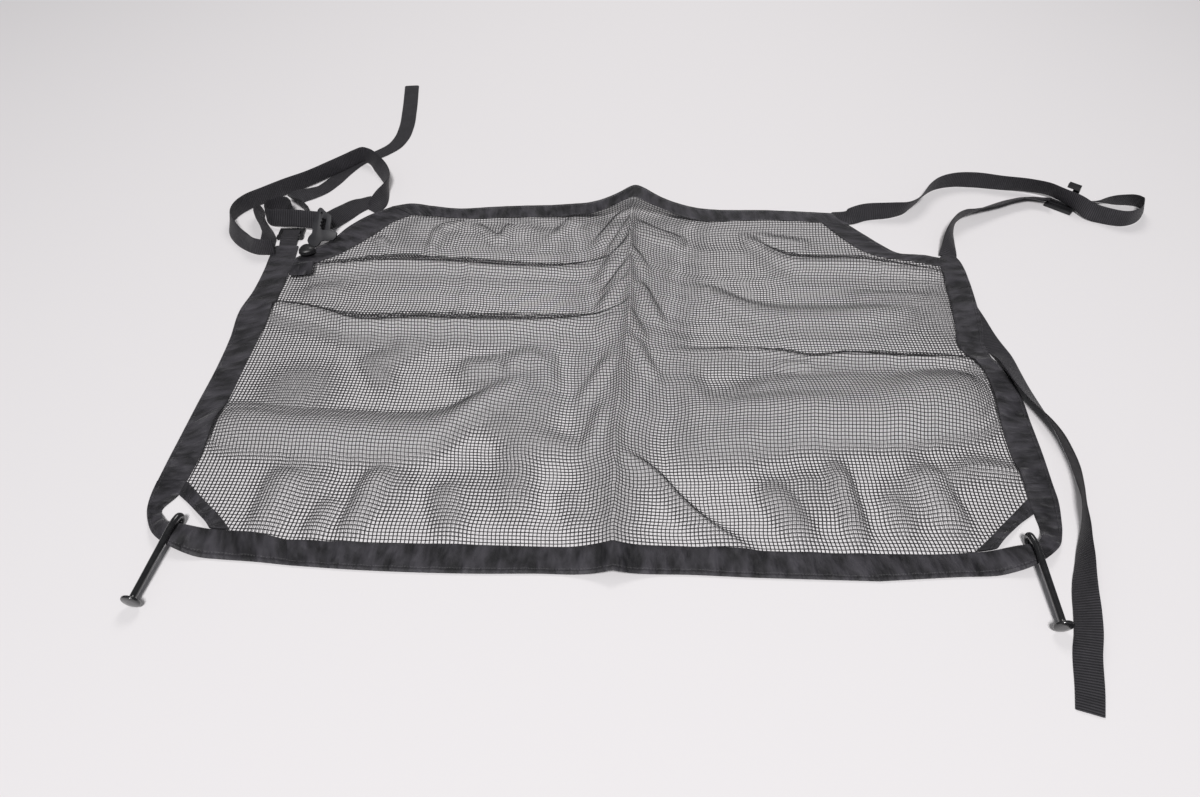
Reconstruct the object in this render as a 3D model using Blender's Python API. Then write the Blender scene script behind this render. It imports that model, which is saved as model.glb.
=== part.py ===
"""Cargo net laid out on a flat surface.

A panel of square mesh in a wide border band, with two corner loops that hold
steel hooks, and webbing straps at the two far corners. The straps lie and
stand on the surface as they fell. Every table is in millimetres, with x to
the right, y away from the near edge and z up; a mesh is written in metres.
"""

import math

import bmesh
import bpy
import numpy as np
from mathutils import Vector

MM = 0.001
REST_X = -120.0             # the flat stretch of the front band that is the origin
REST_Y = 10.0
GAP = 0.5                   # clear space between two pieces that are sewn together
NET_GAP = 1.3               # the same round the rim of the mesh

BAND_THICK = 3.0            # folded tape with the edge of the mesh inside
BAND_STEP = 22.0            # length of one section along a band
NET_THICK = 1.5
NET_RISE = 0.7              # the mesh leaves its band a little above the surface
NET_ACROSS = 44             # cells of the panel from side to side
EDGE_STEP = 4.0             # spacing of the points that trace a band's inner edge
WEB_WIDE = 25.0
WEB_THICK = 1.5
WEB_STEP = 10.0
ROD_RADIUS = 3.5
HEAD_RADIUS = 9.75
HEAD_THICK = 3.0
ROD_SIDES = 12
LABEL_THICK = 1.0

# Creases that run from side to side. Columns: x, y of the crest, its height,
# its reach towards the near edge and its reach towards the far edge.
CREASES_ACROSS = {
    "left_middle": [
        (-450, 415, 0, 40, 26), (-424, 410, 8, 50, 28), (-363, 393, 14, 55, 30),
        (-328, 377, 18, 55, 32), (-231, 374, 18, 55, 32), (-89, 368, 18, 55, 32),
        (0, 376, 18, 55, 32), (30, 386, 15, 50, 32), (70, 392, 0, 40, 32),
    ],
    "left_far": [
        (-430, 500, 0, 35, 22), (-387, 497, 6, 45, 26), (-296, 506, 12, 48, 30),
        (-221, 502, 12, 48, 30), (-96, 488, 12, 45, 30), (-21, 490, 11, 45, 30),
        (45, 492, 0, 40, 30),
    ],
    "left_near": [
        (-465, 206, 0, 45, 30), (-431, 199, 10, 55, 34), (-358, 188, 16, 58, 36),
        (-282, 180, 16, 56, 36), (-225, 177, 16, 55, 36), (-187, 184, 14, 50, 36),
        (-151, 220, 10, 50, 40), (-108, 257, 6, 50, 40), (-70, 270, 0, 50, 40),
    ],
    "right_far": [
        (30, 545, 0, 50, 40), (60, 541, 25, 70, 45), (91, 531, 26, 70, 45),
        (125, 527, 26, 70, 50), (192, 552, 23, 75, 60), (244, 504, 24, 55, 42),
        (272, 488, 24, 52, 40), (353, 487, 24, 52, 34), (406, 477, 20, 48, 30),
        (461, 471, 10, 42, 26), (485, 470, 0, 40, 26),
    ],
    "right_shoulder": [
        (120, 440, 0, 40, 30), (159, 425, 6, 40, 30), (196, 400, 6, 40, 30),
        (299, 388, 6, 40, 30), (378, 394, 6, 40, 30), (430, 398, 0, 40, 30),
    ],
    "right_middle": [
        (60, 326, 0, 16, 40), (100, 320, 4, 16, 60), (186, 317, 7, 16, 60),
        (229, 311, 9, 16, 60), (264, 303, 9, 16, 60), (303, 309, 9, 16, 60),
        (369, 304, 9, 16, 60), (443, 302, 9, 16, 50), (470, 301, 3, 16, 40),
        (500, 300, 0, 16, 40),
    ],
    "right_near": [
        (70, 150, 0, 50, 90), (112, 164, 10, 52, 100), (158, 173, 14, 55, 105),
        (205, 191, 18, 60, 108), (251, 199, 19, 62, 105), (297, 202, 20, 62, 100),
        (342, 206, 25, 64, 95), (394, 230, 28, 80, 75), (440, 240, 20, 80, 60),
        (462, 243, 8, 70, 50), (490, 244, 0, 60, 40),
    ],
    "front_slant": [
        (10, 150, 0, 22, 30), (33, 135, 6, 24, 34), (67, 116, 8, 26, 38),
        (85, 83, 8, 30, 42), (112, 55, 7, 34, 40), (146, 26, 3, 30, 34),
        (165, 12, 0, 26, 30),
    ],
    "front_right": [
        (340, 112, 0, 30, 26), (381, 117, 5, 34, 28), (407, 131, 6, 34, 28),
        (449, 125, 6, 30, 26), (480, 122, 0, 30, 26),
    ],
}

# The fold down the middle and a soft one beside it. Columns: y, x of the
# crest, its height, its reach to the left and its reach to the right.
CREASES_ALONG = {
    "middle_fold": [
        (-40, 12, 10, 56, 58), (-6, 12, 11, 58, 60), (25, 13, 12, 60, 62),
        (75, 14, 14, 64, 66), (115, 16, 16, 68, 72), (172, 18, 18, 74, 80),
        (251, 26, 20, 84, 92), (321, 33, 22, 94, 104), (385, 38, 25, 104, 114),
        (470, 40, 29, 118, 126), (551, 43, 33, 132, 138), (613, 48, 36, 144, 148),
        (651, 53, 38, 147, 150), (690, 55, 38, 147, 150),
    ],
    "left_bulge": [
        (130, -52, 0, 60, 40), (160, -58, 7, 70, 50), (189, -90, 8, 80, 55),
        (238, -90, 8, 80, 60), (262, -112, 6, 80, 60), (300, -120, 0, 70, 60),
    ],
}
CREST_POWER = 1.6           # a crease is steep at its crest and eases to the foot

# Rounded rises. Columns: x, y of the middle, reach, height.
RISES = [
    (-438, 36, 50, 9.0),        # the left hook under the band
    (438, 12, 50, 9.0),         # the right hook under the band
    (487, 392, 105, 4.4),       # the right tail under the band
    (-359, 252, 70, 4.0),
    (-327, 110, 60, 4.0),
    (-232, 102, 55, 4.0),
    (-130, 100, 60, 3.0),
    (221, 92, 55, 4.0),
    (337, 86, 50, 4.0),
    (-250, 580, 60, 5.0),
    (-120, 570, 60, 5.0),
]
BLEND_POWER = 3.0           # where folds cross, the higher one leads

# Bands. Columns: x, y of the outer edge, x, y of the inner edge.
BANDS = {
    "band_loop_left": [
        (-482, 112, -450, 112), (-482, 92, -452, 93), (-479, 72, -463, 73),
        (-471, 54, -457, 61), (-457, 35, -449, 53), (-438, 21.5, -436, 49),
        (-415, 13, -414, 46), (-386, 9.5, -392, 46), (-350, 6.5, -362, 43),
        (-312.3, 2, -322.3, 34),
    ],
    "band_front": [
        (-311.8, 2, -321.8, 34), (-250, -3, -250, 30), (-120, -8, -120, 27),
        (-60, -8, -60, 25), (12, -11, 13, 24), (60, -9, 60, 26),
        (160, -13, 160, 20), (276.8, -17, 269.8, 15),
    ],
    "band_loop_right": [
        (277.3, -17, 270.3, 15), (358, -12, 355, 16),
        (400, -10, 396, 19), (432, -3, 420, 21), (456, 12, 441, 24),
        (469.8, 25.7, 450.8, 32.7),
    ],
    "band_curve_right": [
        (470.2, 26.3, 451.2, 33.3), (478, 42, 456, 45), (484, 62, 457, 64),
        (489, 84, 457, 86), (491, 106, 460, 106),
    ],
    "band_left": [
        (-481.5, 112.6, -449.5, 112.6), (-480, 145, -446, 150), (-478, 178, -443, 195),
        (-475, 230, -440, 241), (-471, 288, -437, 295), (-470, 346, -433, 361),
        (-473, 406, -430, 420), (-467, 440, -429, 460), (-464, 490, -428, 500),
        (-464, 530, -428, 530), (-462, 546, -429, 546),
    ],
    "band_right": [
        (491, 106.6, 460, 106.6), (495, 150, 459, 147), (498, 200, 463, 205),
        (501, 250, 468, 250), (497, 283, 470, 283), (486, 311, 460, 307),
        (483.5, 326, 452, 327), (490, 365, 456, 364), (497, 420, 463, 414),
        (502.5, 468, 469, 468), (504, 492, 472, 497), (502, 514, 475, 516),
        (497, 527, 483, 527),
    ],
    "band_back": [
        (-313, 648, -281, 626), (-288, 656, -262, 623), (-250, 649, -240, 620),
        (-218, 643, -212, 617), (-150, 648, -150, 618), (-91, 651, -89, 620),
        (-40, 648, -40, 617), (-12, 642, -9, 612), (25, 642, 22, 613),
        (53, 647, 47, 617), (92, 640, 92, 613), (133, 637, 140, 607),
        (198, 638, 200, 611), (240, 638, 240, 613), (300, 634, 310, 608),
        (344, 630, 365.5, 600.6),
    ],
    "band_corner_left": [
        (-313.5, 647.2, -281.6, 625.2), (-344, 624, -306, 606), (-368, 595, -326, 577),
        (-384, 565, -349, 548), (-404, 542, -371, 526), (-424, 522, -392, 510),
        (-427.4, 518, -427.4, 484),
    ],
    "band_corner_right": [
        (364.2, 599.2, 326, 605.6), (383, 574, 341, 578), (402, 549, 359, 551),
        (422, 529, 379, 530), (444, 526, 404, 518), (460, 524, 436, 511),
        (473.4, 519, 467.6, 500.5),
    ],
    "binding_left": [
        (-451.4, 92.2, -448.9, 111.4), (-440, 82.5, -435.6, 98.3),
        (-423, 66, -412.5, 75.8), (-407.6, 50.5, -396.6, 60.4), (-405, 46.9, -384.4, 46.9),
    ],
    "binding_right": [
        (404.5, 21.4, 381.5, 18.9), (413, 30.5, 398, 32.6),
        (425, 41.5, 413, 46.5), (440, 54.5, 431, 63), (456.1, 66, 456.4, 86.4),
    ],
}

# The folded tab on the left corner, in the columns of a band.
LABEL = [(-424, 501, -424, 474), (-408, 502, -408, 473), (-393, 501, -393, 474)]
LABEL_STEP = 7.0
LABEL_RISE = 4.2            # above the tape and the mesh that it is sewn to

# Right-hand edge of each strap, seen from above in the way it runs, and the
# angle at which its width rises from the surface on the left of that edge.
# Columns: x, y, z, angle in degrees.
STRAPS = {
    "strap_back_right": [
        (365.9, 601.1, 1.0, 8), (392, 611, 1.0, 60), (431, 619, 1.0, 84), (450, 628, 1.0, 102),
        (462, 641, 1.0, 112), (475, 655, 1.0, 112), (492, 676, 1.0, 104), (512, 693, 1.0, 98),
        (543, 703, 1.0, 90), (572, 702, 1.0, 84), (614, 695, 1.0, 92), (654, 686, 3.0, 99),
        (678, 674, 5.4, 104), (697, 650, 5.4, 98), (706, 632, 5.4, 84), (716, 616, 1.6, 66),
        (738, 603, 1.0, 78), (764, 597, 1.0, 86), (786, 605, 1.0, 86), (804, 624, 1.0, 78),
        (811, 637, 1.0, 72), (806, 648, 1.0, 70), (794, 652, 1.0, 72), (780, 653, 1.0, 70),
        (765, 657, 1.0, 58), (750, 661.5, 1.0, 38), (730, 664, 1.0, 22),
    ],
    "strap_side_right": [
        (502.5, 526.5, 1.0, 18), (507, 552, 1.0, 44), (511.5, 578, 1.0, 74), (518, 598, 1.0, 96),
        (528, 612, 1.0, 110), (541, 623, 1.0, 124), (562, 638, 1.0, 138), (587, 652, 1.0, 147),
        (620, 667, 1.0, 147), (648, 673, 1.0, 146), (660, 669.5, 1.0, 143),
        (670.5, 664.5, 1.0, 140),
    ],
    "strap_tail_right": [
        (497, 420, 0.9, 180), (501, 389, 0.9, 180), (505, 352, 0.9, 180), (507.8, 337, 0.9, 180),
        (510.4, 326, 0.9, 180), (512.2, 317, 1.0, 174), (513.4, 306, 1.0, 166),
        (514, 290, 1.0, 159), (516, 254, 1.0, 150), (519, 226, 1.0, 142), (521, 207, 1.0, 132),
        (522, 183, 1.0, 118), (521.5, 160, 1.0, 107), (520.7, 136, 1.0, 103),
        (518.5, 115, 1.0, 100), (514.8, 86, 1.0, 104), (505, 60, 1.0, 98), (494, 38, 1.0, 83),
        (484.7, 20.5, 1.0, 72), (476, 2, 1.0, 60), (468.5, -13, 1.0, 50), (461, -32, 1.0, 40),
        (455.5, -50, 1.0, 32), (447.5, -74, 1.0, 25), (439.8, -92, 0.9, 18),
        (427.5, -131, 0.9, 6), (421, -150, 0.9, 0),
    ],
    "strap_tail_left": [
        (-424, 614, 1.2, 84), (-436, 632, 1.2, 78), (-447, 648, 1.2, 56), (-448, 658, 1.3, 30),
        (-434, 670, 1.2, 14), (-419, 684, 1.1, 5), (-403, 712, 1.0, 1.5),
        (-391, 742, 1.0, 0.4), (-374, 773, 0.9, 0), (-349, 793, 0.9, 0), (-326, 822, 0.9, 0),
        (-317, 852, 0.9, 0), (-314.5, 889, 0.9, 0), (-318, 949, 0.9, 0), (-327, 1040, 0.9, 0),
    ],
    "strap_loop_left": [
        (-326.3, 638.4, 1.0, 10), (-321.5, 650, 1.0, 30), (-320.5, 664, 1.0, 62),
        (-325, 690, 1.2, 100), (-340, 720, 2.4, 122), (-356, 748, 2.4, 120),
        (-369, 770, 2.4, 102), (-377, 776, 2.4, 94), (-386, 768, 2.4, 96), (-398, 754, 2.4, 98),
        (-419, 732, 2.4, 98), (-448, 703, 2.4, 98), (-477, 680, 2.4, 100), (-504, 658, 1.4, 100),
        (-524, 641, 1.0, 98), (-536, 622, 1.0, 90), (-541, 600, 1.0, 78), (-537, 578, 1.0, 62),
        (-524, 557, 1.0, 58), (-505, 539, 1.0, 62), (-484, 527.5, 1.0, 78),
        (-464.7, 526, 1.0, 86),
    ],
    "strap_arc_left": [
        (-463.2, 549, 1.0, 56), (-465, 563, 1.0, 50), (-473.5, 581, 1.0, 50),
        (-485.5, 599, 1.0, 54), (-495, 616, 1.0, 62), (-499, 632, 1.0, 72),
    ],
    "strap_coil_left": [
        (-455, 611, 1.0, 88), (-454, 624, 1.0, 90), (-463, 635, 1.0, 92),
        (-479, 635, 1.0, 94), (-489, 624, 1.0, 92), (-490, 610, 1.0, 86),
        (-482, 598.5, 1.6, 76), (-463, 592.6, 3.6, 66), (-440, 588.4, 5.3, 62),
        (-412.5, 583.4, 5.8, 60),
    ],
    "strap_buckle_left": [
        (-386.5, 584, 6.0, 62), (-376, 600, 3.6, 54), (-366, 616, 1.6, 42),
        (-354.5, 634, 1.0, 26), (-345, 644, 1.0, 14), (-341.5, 647.6, 1.0, 10),
    ],
    "strap_lock_left": [
        (-458, 579.5, 5.7, 0), (-458, 568, 5.7, 0), (-458, 561, 5.4, 0),
        (-457.8, 554, 2.8, 0), (-457.6, 546.9, 1.0, 0),
    ],
}

# Hooks: centre of the rod from the outer face of its head to its tip.
# Columns: x, y, z.
HOOKS = {
    "hook_left": [
        (-450.6, -47, 10.0), (-449.9, -42, 10.4), (-446.6, -20, 11.9), (-443.7, 0, 13.3),
        (-441.6, 14, 14.3), (-439.6, 28, 15.5), (-438, 39, 16.1),
        (-436.4, 48, 16.0), (-435.2, 54.4, 14.2), (-434.8, 56.6, 9.9), (-435.3, 54.6, 5.7),
        (-436.6, 48, 3.85), (-438.4, 39, 3.8), (-439.6, 33, 3.8),
    ],
    "hook_right": [
        (435.4, -74, 10.0), (435.5, -69, 10.4), (436.1, -46, 11.9), (436.6, -26, 13.3),
        (437.0, -12, 14.3), (437.3, 2, 15.5), (437.5, 13, 16.1),
        (436.6, 23, 16.0), (436, 29.4, 14.2), (435.8, 31.6, 9.9), (436, 29.6, 5.7),
        (436.6, 23, 3.85), (437.6, 13, 3.8), (438.2, 7, 3.8),
    ],
}

# Outline of the plate buckle in its own plane. Columns: across, up.
BUCKLE_OUTLINE = [
    (0.5, 0.5), (6, 4), (9, 9), (26, 12), (31, 22), (20, 27), (20, 45), (12, 50), (4, 56),
    (-1, 53), (-3, 44), (-6.5, 41), (-6, 20), (-11.5, 8), (-7, 2),
]
BUCKLE_FOOT = (-405.0, 540.0, 5.0)
BUCKLE_ACROSS = (0.984, -0.177, 0.0)
BUCKLE_UP = (0.124, 0.688, 0.715)
BUCKLE_THICK = 3.6

COLOURS = {
    "mesh": (0.022, 0.022, 0.025, 0.75, 0.0),
    "tape": (0.020, 0.020, 0.023, 0.6, 0.0),
    "webbing": (0.024, 0.024, 0.027, 0.55, 0.0),
    "plastic": (0.014, 0.014, 0.016, 0.4, 0.0),
    "coated_steel": (0.008, 0.008, 0.009, 0.18, 0.0),
    "label": (0.030, 0.030, 0.033, 0.6, 0.0),
}


def clear_scene():
    for old in list(bpy.data.objects):
        bpy.data.objects.remove(old)


def place(x, y, z):
    """A point of the tables as a point of the model, in metres."""
    return Vector(((x - REST_X) * MM, (y - REST_Y) * MM, z * MM))


def crest_height(table, along, across):
    """Height of one crease at a point, from the crest's table."""
    rows = np.array(table, float)
    if not rows[0, 0] < along < rows[-1, 0]:
        return 0.0
    crest, height, low, high = (np.interp(along, rows[:, 0], rows[:, k]) for k in range(1, 5))
    away = across - crest
    share = abs(away) / (high if away > 0 else low)
    return height * max(0.0, 1.0 - share) ** CREST_POWER


def lift(x, y):
    """Height of the underside of the cloth above the surface."""
    heights = [crest_height(table, x, y) for table in CREASES_ACROSS.values()]
    heights += [crest_height(table, y, x) for table in CREASES_ALONG.values()]
    for mid_x, mid_y, reach, height in RISES:
        share = min(1.0, math.hypot(x - mid_x, y - mid_y) / reach)
        heights.append(height * (1.0 - share * share) ** 2)
    return sum(h ** BLEND_POWER for h in heights) ** (1.0 / BLEND_POWER)


def smooth_rows(table, step):
    """Rows of a table, read every step or so from a smooth curve through them."""
    rows = np.array(table, float)
    spans = np.linalg.norm(np.diff(rows[:, :2], axis=0), axis=1)
    marks = np.concatenate(([0.0], np.cumsum(spans)))
    slopes = np.gradient(rows, marks, axis=0)
    fine = []
    for k, span in enumerate(spans):
        count = max(1, round(span / step))
        for share in np.arange(count) / count:
            rise = share * share * (3 - 2 * share)
            leave = share * (1 - share) ** 2 * span
            reach = share * share * (share - 1) * span
            row = (1 - rise) * rows[k] + rise * rows[k + 1] + leave * slopes[k] + reach * slopes[k + 1]
            fine.append(row)
    fine.append(rows[-1])
    return np.array(fine)


def finish(name, points, faces, look, smooth=False):
    """One closed body from points in table millimetres."""
    mesh = bpy.data.meshes.new(name)
    mesh.from_pydata([place(*p) for p in points], [], faces)
    shape = bmesh.new()
    shape.from_mesh(mesh)
    bmesh.ops.recalc_face_normals(shape, faces=shape.faces)
    shape.to_mesh(mesh)
    shape.free()
    if smooth:
        mesh.shade_smooth()
        mesh.set_sharp_from_angle(angle=math.radians(35))
    body = bpy.data.objects.new(name, mesh)
    bpy.context.collection.objects.link(body)
    body.data.materials.append(material(look))
    return body


def material(look):
    found = bpy.data.materials.get(look)
    if found:
        return found
    red, green, blue, rough, metal = COLOURS[look]
    made = bpy.data.materials.new(look)
    made.use_nodes = True
    shader = made.node_tree.nodes["Principled BSDF"]
    shader.inputs["Base Color"].default_value = (red, green, blue, 1.0)
    shader.inputs["Roughness"].default_value = rough
    shader.inputs["Metallic"].default_value = metal
    return made


def swept(name, sections, look, smooth=False):
    """A closed body through rings that all have the same number of corners."""
    corners = len(sections[0])
    points = [p for ring in sections for p in ring]
    faces = [tuple(range(corners))[::-1]]
    for k in range(len(sections) - 1):
        base = k * corners
        for c in range(corners):
            d = (c + 1) % corners
            quad = [base + c, base + d, base + corners + d, base + corners + c]
            if c >= corners // 2:           # the two sides of a thin body split alike
                quad = quad[1:] + quad[:1]
            faces.append((quad[0], quad[1], quad[2]))
            faces.append((quad[0], quad[2], quad[3]))
    faces.append(tuple(range(len(points) - corners, len(points))))
    return finish(name, points, faces, look, smooth)


def band(name, table, step=BAND_STEP, rise=0.0, thick=BAND_THICK, look="tape"):
    """A flat tape whose underside follows the folds of the cloth."""
    sections = []
    for out_x, out_y, in_x, in_y in smooth_rows(table, step):
        under = []
        for share in (0.0, 0.5, 1.0):
            x = out_x + (in_x - out_x) * share
            y = out_y + (in_y - out_y) * share
            under.append((x, y, lift(x, y) + rise))
        over = [(x, y, z + thick) for x, y, z in reversed(under)]
        sections.append(under + over)
    return swept(name, sections, look)


def strap(name, table):
    """Webbing that lies or stands on the surface along its right-hand edge."""
    rows = smooth_rows(table, WEB_STEP)
    runs = np.gradient(rows[:, :3], axis=0)
    sections = []
    for (x, y, z, angle), run in zip(rows, runs):
        ahead = Vector(run).normalized()
        left = Vector((-ahead.y, ahead.x, 0.0)).normalized()
        turn = math.radians(angle)
        wide = left * math.cos(turn) + Vector((0.0, 0.0, math.sin(turn)))
        side = ahead.cross(wide).normalized() * (WEB_THICK / 2)
        low = Vector((x, y, z))
        high = low + wide * WEB_WIDE
        sections.append([low - side, high - side, high + side, low + side])
    return swept(name, sections, "webbing")


def inner_edge(name, low=-1e9, high=1e9, column=3):
    """Inner edge of a band as a fine line, kept between two bounds of one column."""
    fine = smooth_rows(BANDS[name], EDGE_STEP)
    return [tuple(row[2:]) for row in fine if low < row[column] < high]


def net_sides():
    """Inner outline of the border: near edge, left side, far edge, right side."""
    near_left, near_right = (-383.6, 47.6), (380.8, 19.6)
    top_left, top_right = (-448.9, 112.2), (455.8, 87.2)
    near = [near_left] + inner_edge("band_loop_left", -382, 0, 2) + inner_edge("band_front")
    near += inner_edge("band_loop_right", 0, 379, 2) + [near_right]
    top_near, top_far = (-281.6, 625.2), (326.0, 605.6)
    far = [top_near] + inner_edge("band_back", -280, 324, 2) + [top_far]
    left = [[near_left, top_left],
            [top_left] + inner_edge("band_left", 113, 482) + [(-427.4, 483.4)],
            inner_edge("band_corner_left")[::-1]]
    right = [[near_right, top_right],
             [top_right, (459.6, 107)] + inner_edge("band_right", 108, 499) + [(467.6, 500.4)],
             inner_edge("band_corner_right")[::-1]]
    return near, left, far, right


def spaced(line, count):
    """Points at equal steps along a line of points."""
    line = np.array(line, float)
    marks = np.concatenate(([0.0], np.cumsum(np.linalg.norm(np.diff(line, axis=0), axis=1))))
    wanted = np.linspace(0.0, marks[-1], count + 1)
    return np.stack([np.interp(wanted, marks, line[:, k]) for k in (0, 1)], axis=1)


def net_plan():
    """Plan position of every corner of the panel's cells, rows from near to far."""
    rows_in = (5, 27, 9)                    # corner binding, side band, slanting corner
    near, left, far, right = net_sides()
    bottom = spaced(near, NET_ACROSS)
    top = spaced(far, NET_ACROSS)
    sides = []
    for side in (left, right):
        pieces = [spaced(line, n) for line, n in zip(side, rows_in)]
        sides.append(np.concatenate([pieces[0], pieces[1][1:], pieces[2][1:]]))
    top[0], top[-1] = sides[0][-1], sides[1][-1]
    bottom[0], bottom[-1] = sides[0][0], sides[1][0]
    height = sides[0][:, 1] - sides[0][0, 1]
    ups = height / height[-1]
    plan = np.zeros((len(ups), NET_ACROSS + 1, 2))
    for j, v in enumerate(ups):
        for i in range(NET_ACROSS + 1):
            u = i / NET_ACROSS
            edges = (1 - v) * bottom[i] + v * top[i] + (1 - u) * sides[0][j] + u * sides[1][j]
            corners = (1 - v) * ((1 - u) * bottom[0] + u * bottom[-1])
            corners = corners + v * ((1 - u) * top[0] + u * top[-1])
            plan[j, i] = edges - corners
    return drawn_in(plan)


def drawn_in(plan):
    """The plan with its rim moved towards the middle by the gap to the bands."""
    middle = plan.mean(axis=(0, 1))
    inner = plan.copy()
    for j in range(plan.shape[0]):
        for i in range(plan.shape[1]):
            if j in (0, plan.shape[0] - 1) or i in (0, plan.shape[1] - 1):
                inward = middle - plan[j, i]
                inner[j, i] += inward / np.linalg.norm(inward) * NET_GAP
    return inner


def net_panel():
    plan = net_plan()
    rows, columns = plan.shape[:2]
    under = [(x, y, lift(x, y) + NET_RISE) for x, y in plan.reshape(-1, 2)]
    over = [(x, y, z + NET_THICK) for x, y, z in under]
    size = len(under)
    faces = []
    for j in range(rows - 1):
        for i in range(columns - 1):
            a = j * columns + i
            for half in ((a, a + 1, a + columns + 1), (a, a + columns + 1, a + columns)):
                faces.append(half[::-1])
                faces.append(tuple(size + k for k in half))
    rim = [i for i in range(columns)]
    rim += [j * columns + columns - 1 for j in range(1, rows)]
    rim += [(rows - 1) * columns + i for i in range(columns - 2, -1, -1)]
    rim += [j * columns for j in range(rows - 2, 0, -1)]
    for a, b in zip(rim, rim[1:] + rim[:1]):
        faces.append((a, b, size + b, size + a))
    return finish("net_panel", under + over, faces, "mesh")


def hook(name, table):
    """A bent rod with a flat round head at its outer end."""
    line = smooth_rows([(y, z, x) for x, y, z in table], 4.0)
    centres = [Vector((x, y, z)) for y, z, x in line]
    ahead = (centres[1] - centres[0]).normalized()
    head_end = centres[0] + ahead * HEAD_THICK
    stations = [(centres[0], HEAD_RADIUS - 0.6), (centres[0] + ahead * 0.6, HEAD_RADIUS),
                (head_end - ahead * 0.6, HEAD_RADIUS), (head_end, HEAD_RADIUS - 0.6),
                (head_end + ahead * 0.3, ROD_RADIUS)]
    stations += [(p, ROD_RADIUS) for p in centres if (p - centres[0]).dot(ahead) > HEAD_THICK + 1.5
                 or p.y > table[3][1]]
    tip = (centres[-1] - centres[-2]).normalized()
    stations += [(centres[-1] + tip * 1.6, ROD_RADIUS * 0.8), (centres[-1] + tip * 2.4, ROD_RADIUS * 0.4)]
    sections = []
    for k, (centre, radius) in enumerate(stations):
        before = stations[max(k - 1, 0)][0]
        after = stations[min(k + 1, len(stations) - 1)][0]
        run = (after - before).normalized()
        across = Vector((1.0, 0.0, 0.0))
        across = (across - run * across.dot(run)).normalized()
        other = run.cross(across)
        ring = []
        for c in range(ROD_SIDES):
            turn = 2 * math.pi * c / ROD_SIDES
            ring.append(centre + (across * math.cos(turn) + other * math.sin(turn)) * radius)
        sections.append(ring)
    return swept(name, sections, "coated_steel", smooth=True)


def blocks(name, xs, ys, zs, filled, origin, turn, look):
    """A body of boxes on a grid; filled(i, j, k) says which cells are solid."""
    points, faces, seen = [], [], {}
    cos, sin = math.cos(turn), math.sin(turn)

    def corner(i, j, k):
        if (i, j, k) not in seen:
            seen[i, j, k] = len(points)
            x, y = xs[i], ys[j]
            points.append((origin[0] + x * cos - y * sin, origin[1] + x * sin + y * cos, origin[2] + zs[k]))
        return seen[i, j, k]

    def solid(i, j, k):
        inside = 0 <= i < len(xs) - 1 and 0 <= j < len(ys) - 1 and 0 <= k < len(zs) - 1
        return inside and filled(i, j, k)

    steps = ((0, 1, 2), (1, 2, 0), (2, 0, 1))
    for i in range(len(xs) - 1):
        for j in range(len(ys) - 1):
            for k in range(len(zs) - 1):
                if not solid(i, j, k):
                    continue
                cell = np.array((i, j, k))
                for axis, side, other in steps:
                    for way in (0, 1):
                        beyond = cell.copy()
                        beyond[axis] += 2 * way - 1
                        if solid(*beyond):
                            continue
                        base = cell.copy()
                        base[axis] += way
                        quad = []
                        for a, b in ((0, 0), (1, 0), (1, 1), (0, 1)):
                            spot = base.copy()
                            spot[side] += a
                            spot[other] += b
                            quad.append(corner(*(int(n) for n in spot)))
                        faces.append(tuple(quad))
    return finish(name, points, faces, look)


def slider_right():
    """Three-bar slider flat on the surface, its far end turned up behind the strap."""
    xs = (0.0, 3.5, 19.0, 27.5, 36.5, 40.0)
    ys = (0.0, 4.5, 9.0, 14.0, 17.0, 21.0)
    zs = (0.0, 4.2, 33.0, 39.5)

    def filled(i, j, k):
        if k == 0:
            return i in (0, 4) or j in (0, 2, 4)
        if k == 1:
            return j == 4 and i == 3
        return j in (3, 4) and i in (2, 3)

    return blocks("slider_right", xs, ys, zs, filled, (668.0, 652.0, 0.3), math.radians(-41), "plastic")


def lock_left():
    """Ladder lock at the far end of the left band, its near bar under the webbing."""
    xs = (0.0, 4.0, 32.0, 36.0)
    ys = (0.0, 6.0, 17.0, 24.0)
    zs = (0.0, 4.3)

    def filled(i, j, k):
        return i != 1 or j != 1

    return blocks("lock_left", xs, ys, zs, filled, (-464.0, 563.0, 0.3), 0.0, "plastic")


def buckle_left():
    """Plate buckle leaning back between two straps."""
    across, up = Vector(BUCKLE_ACROSS), Vector(BUCKLE_UP)
    out = across.cross(up).normalized() * BUCKLE_THICK
    foot = Vector(BUCKLE_FOOT)
    front = [foot + across * u + up * v for u, v in BUCKLE_OUTLINE]
    back = [p - out for p in front]
    return swept("buckle_left", [back, front], "plastic")


def stopper_left():
    """Rounded end of the plastic fitting on the left corner band."""
    shape = bmesh.new()
    bmesh.ops.create_icosphere(shape, subdivisions=2, radius=1.0)
    points = [(-409 + v.co.x * 10.0, 523 + v.co.y * 9.0, 8.9 + v.co.z * 5.2) for v in shape.verts]
    faces = [tuple(v.index for v in f.verts) for f in shape.faces]
    shape.free()
    return finish("stopper_left", points, faces, "plastic", smooth=True)


def main():
    clear_scene()
    net_panel()
    for name, table in BANDS.items():
        band(name, table)
    band("label_tab", LABEL, LABEL_STEP, LABEL_RISE, LABEL_THICK, "label")
    for name, table in STRAPS.items():
        strap(name, table)
    for name, table in HOOKS.items():
        hook(name, table)
    slider_right()
    lock_left()
    buckle_left()
    stopper_left()


main()
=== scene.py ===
"""Cargo net laid out on a pale floor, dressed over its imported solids.

Tables are in millimetres: x to the right, y away from the near edge, z up.
place() turns them into the metres of the frame, whose origin is the flat
stretch of the near border band at REST_X, REST_Y.
"""

import math

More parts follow.
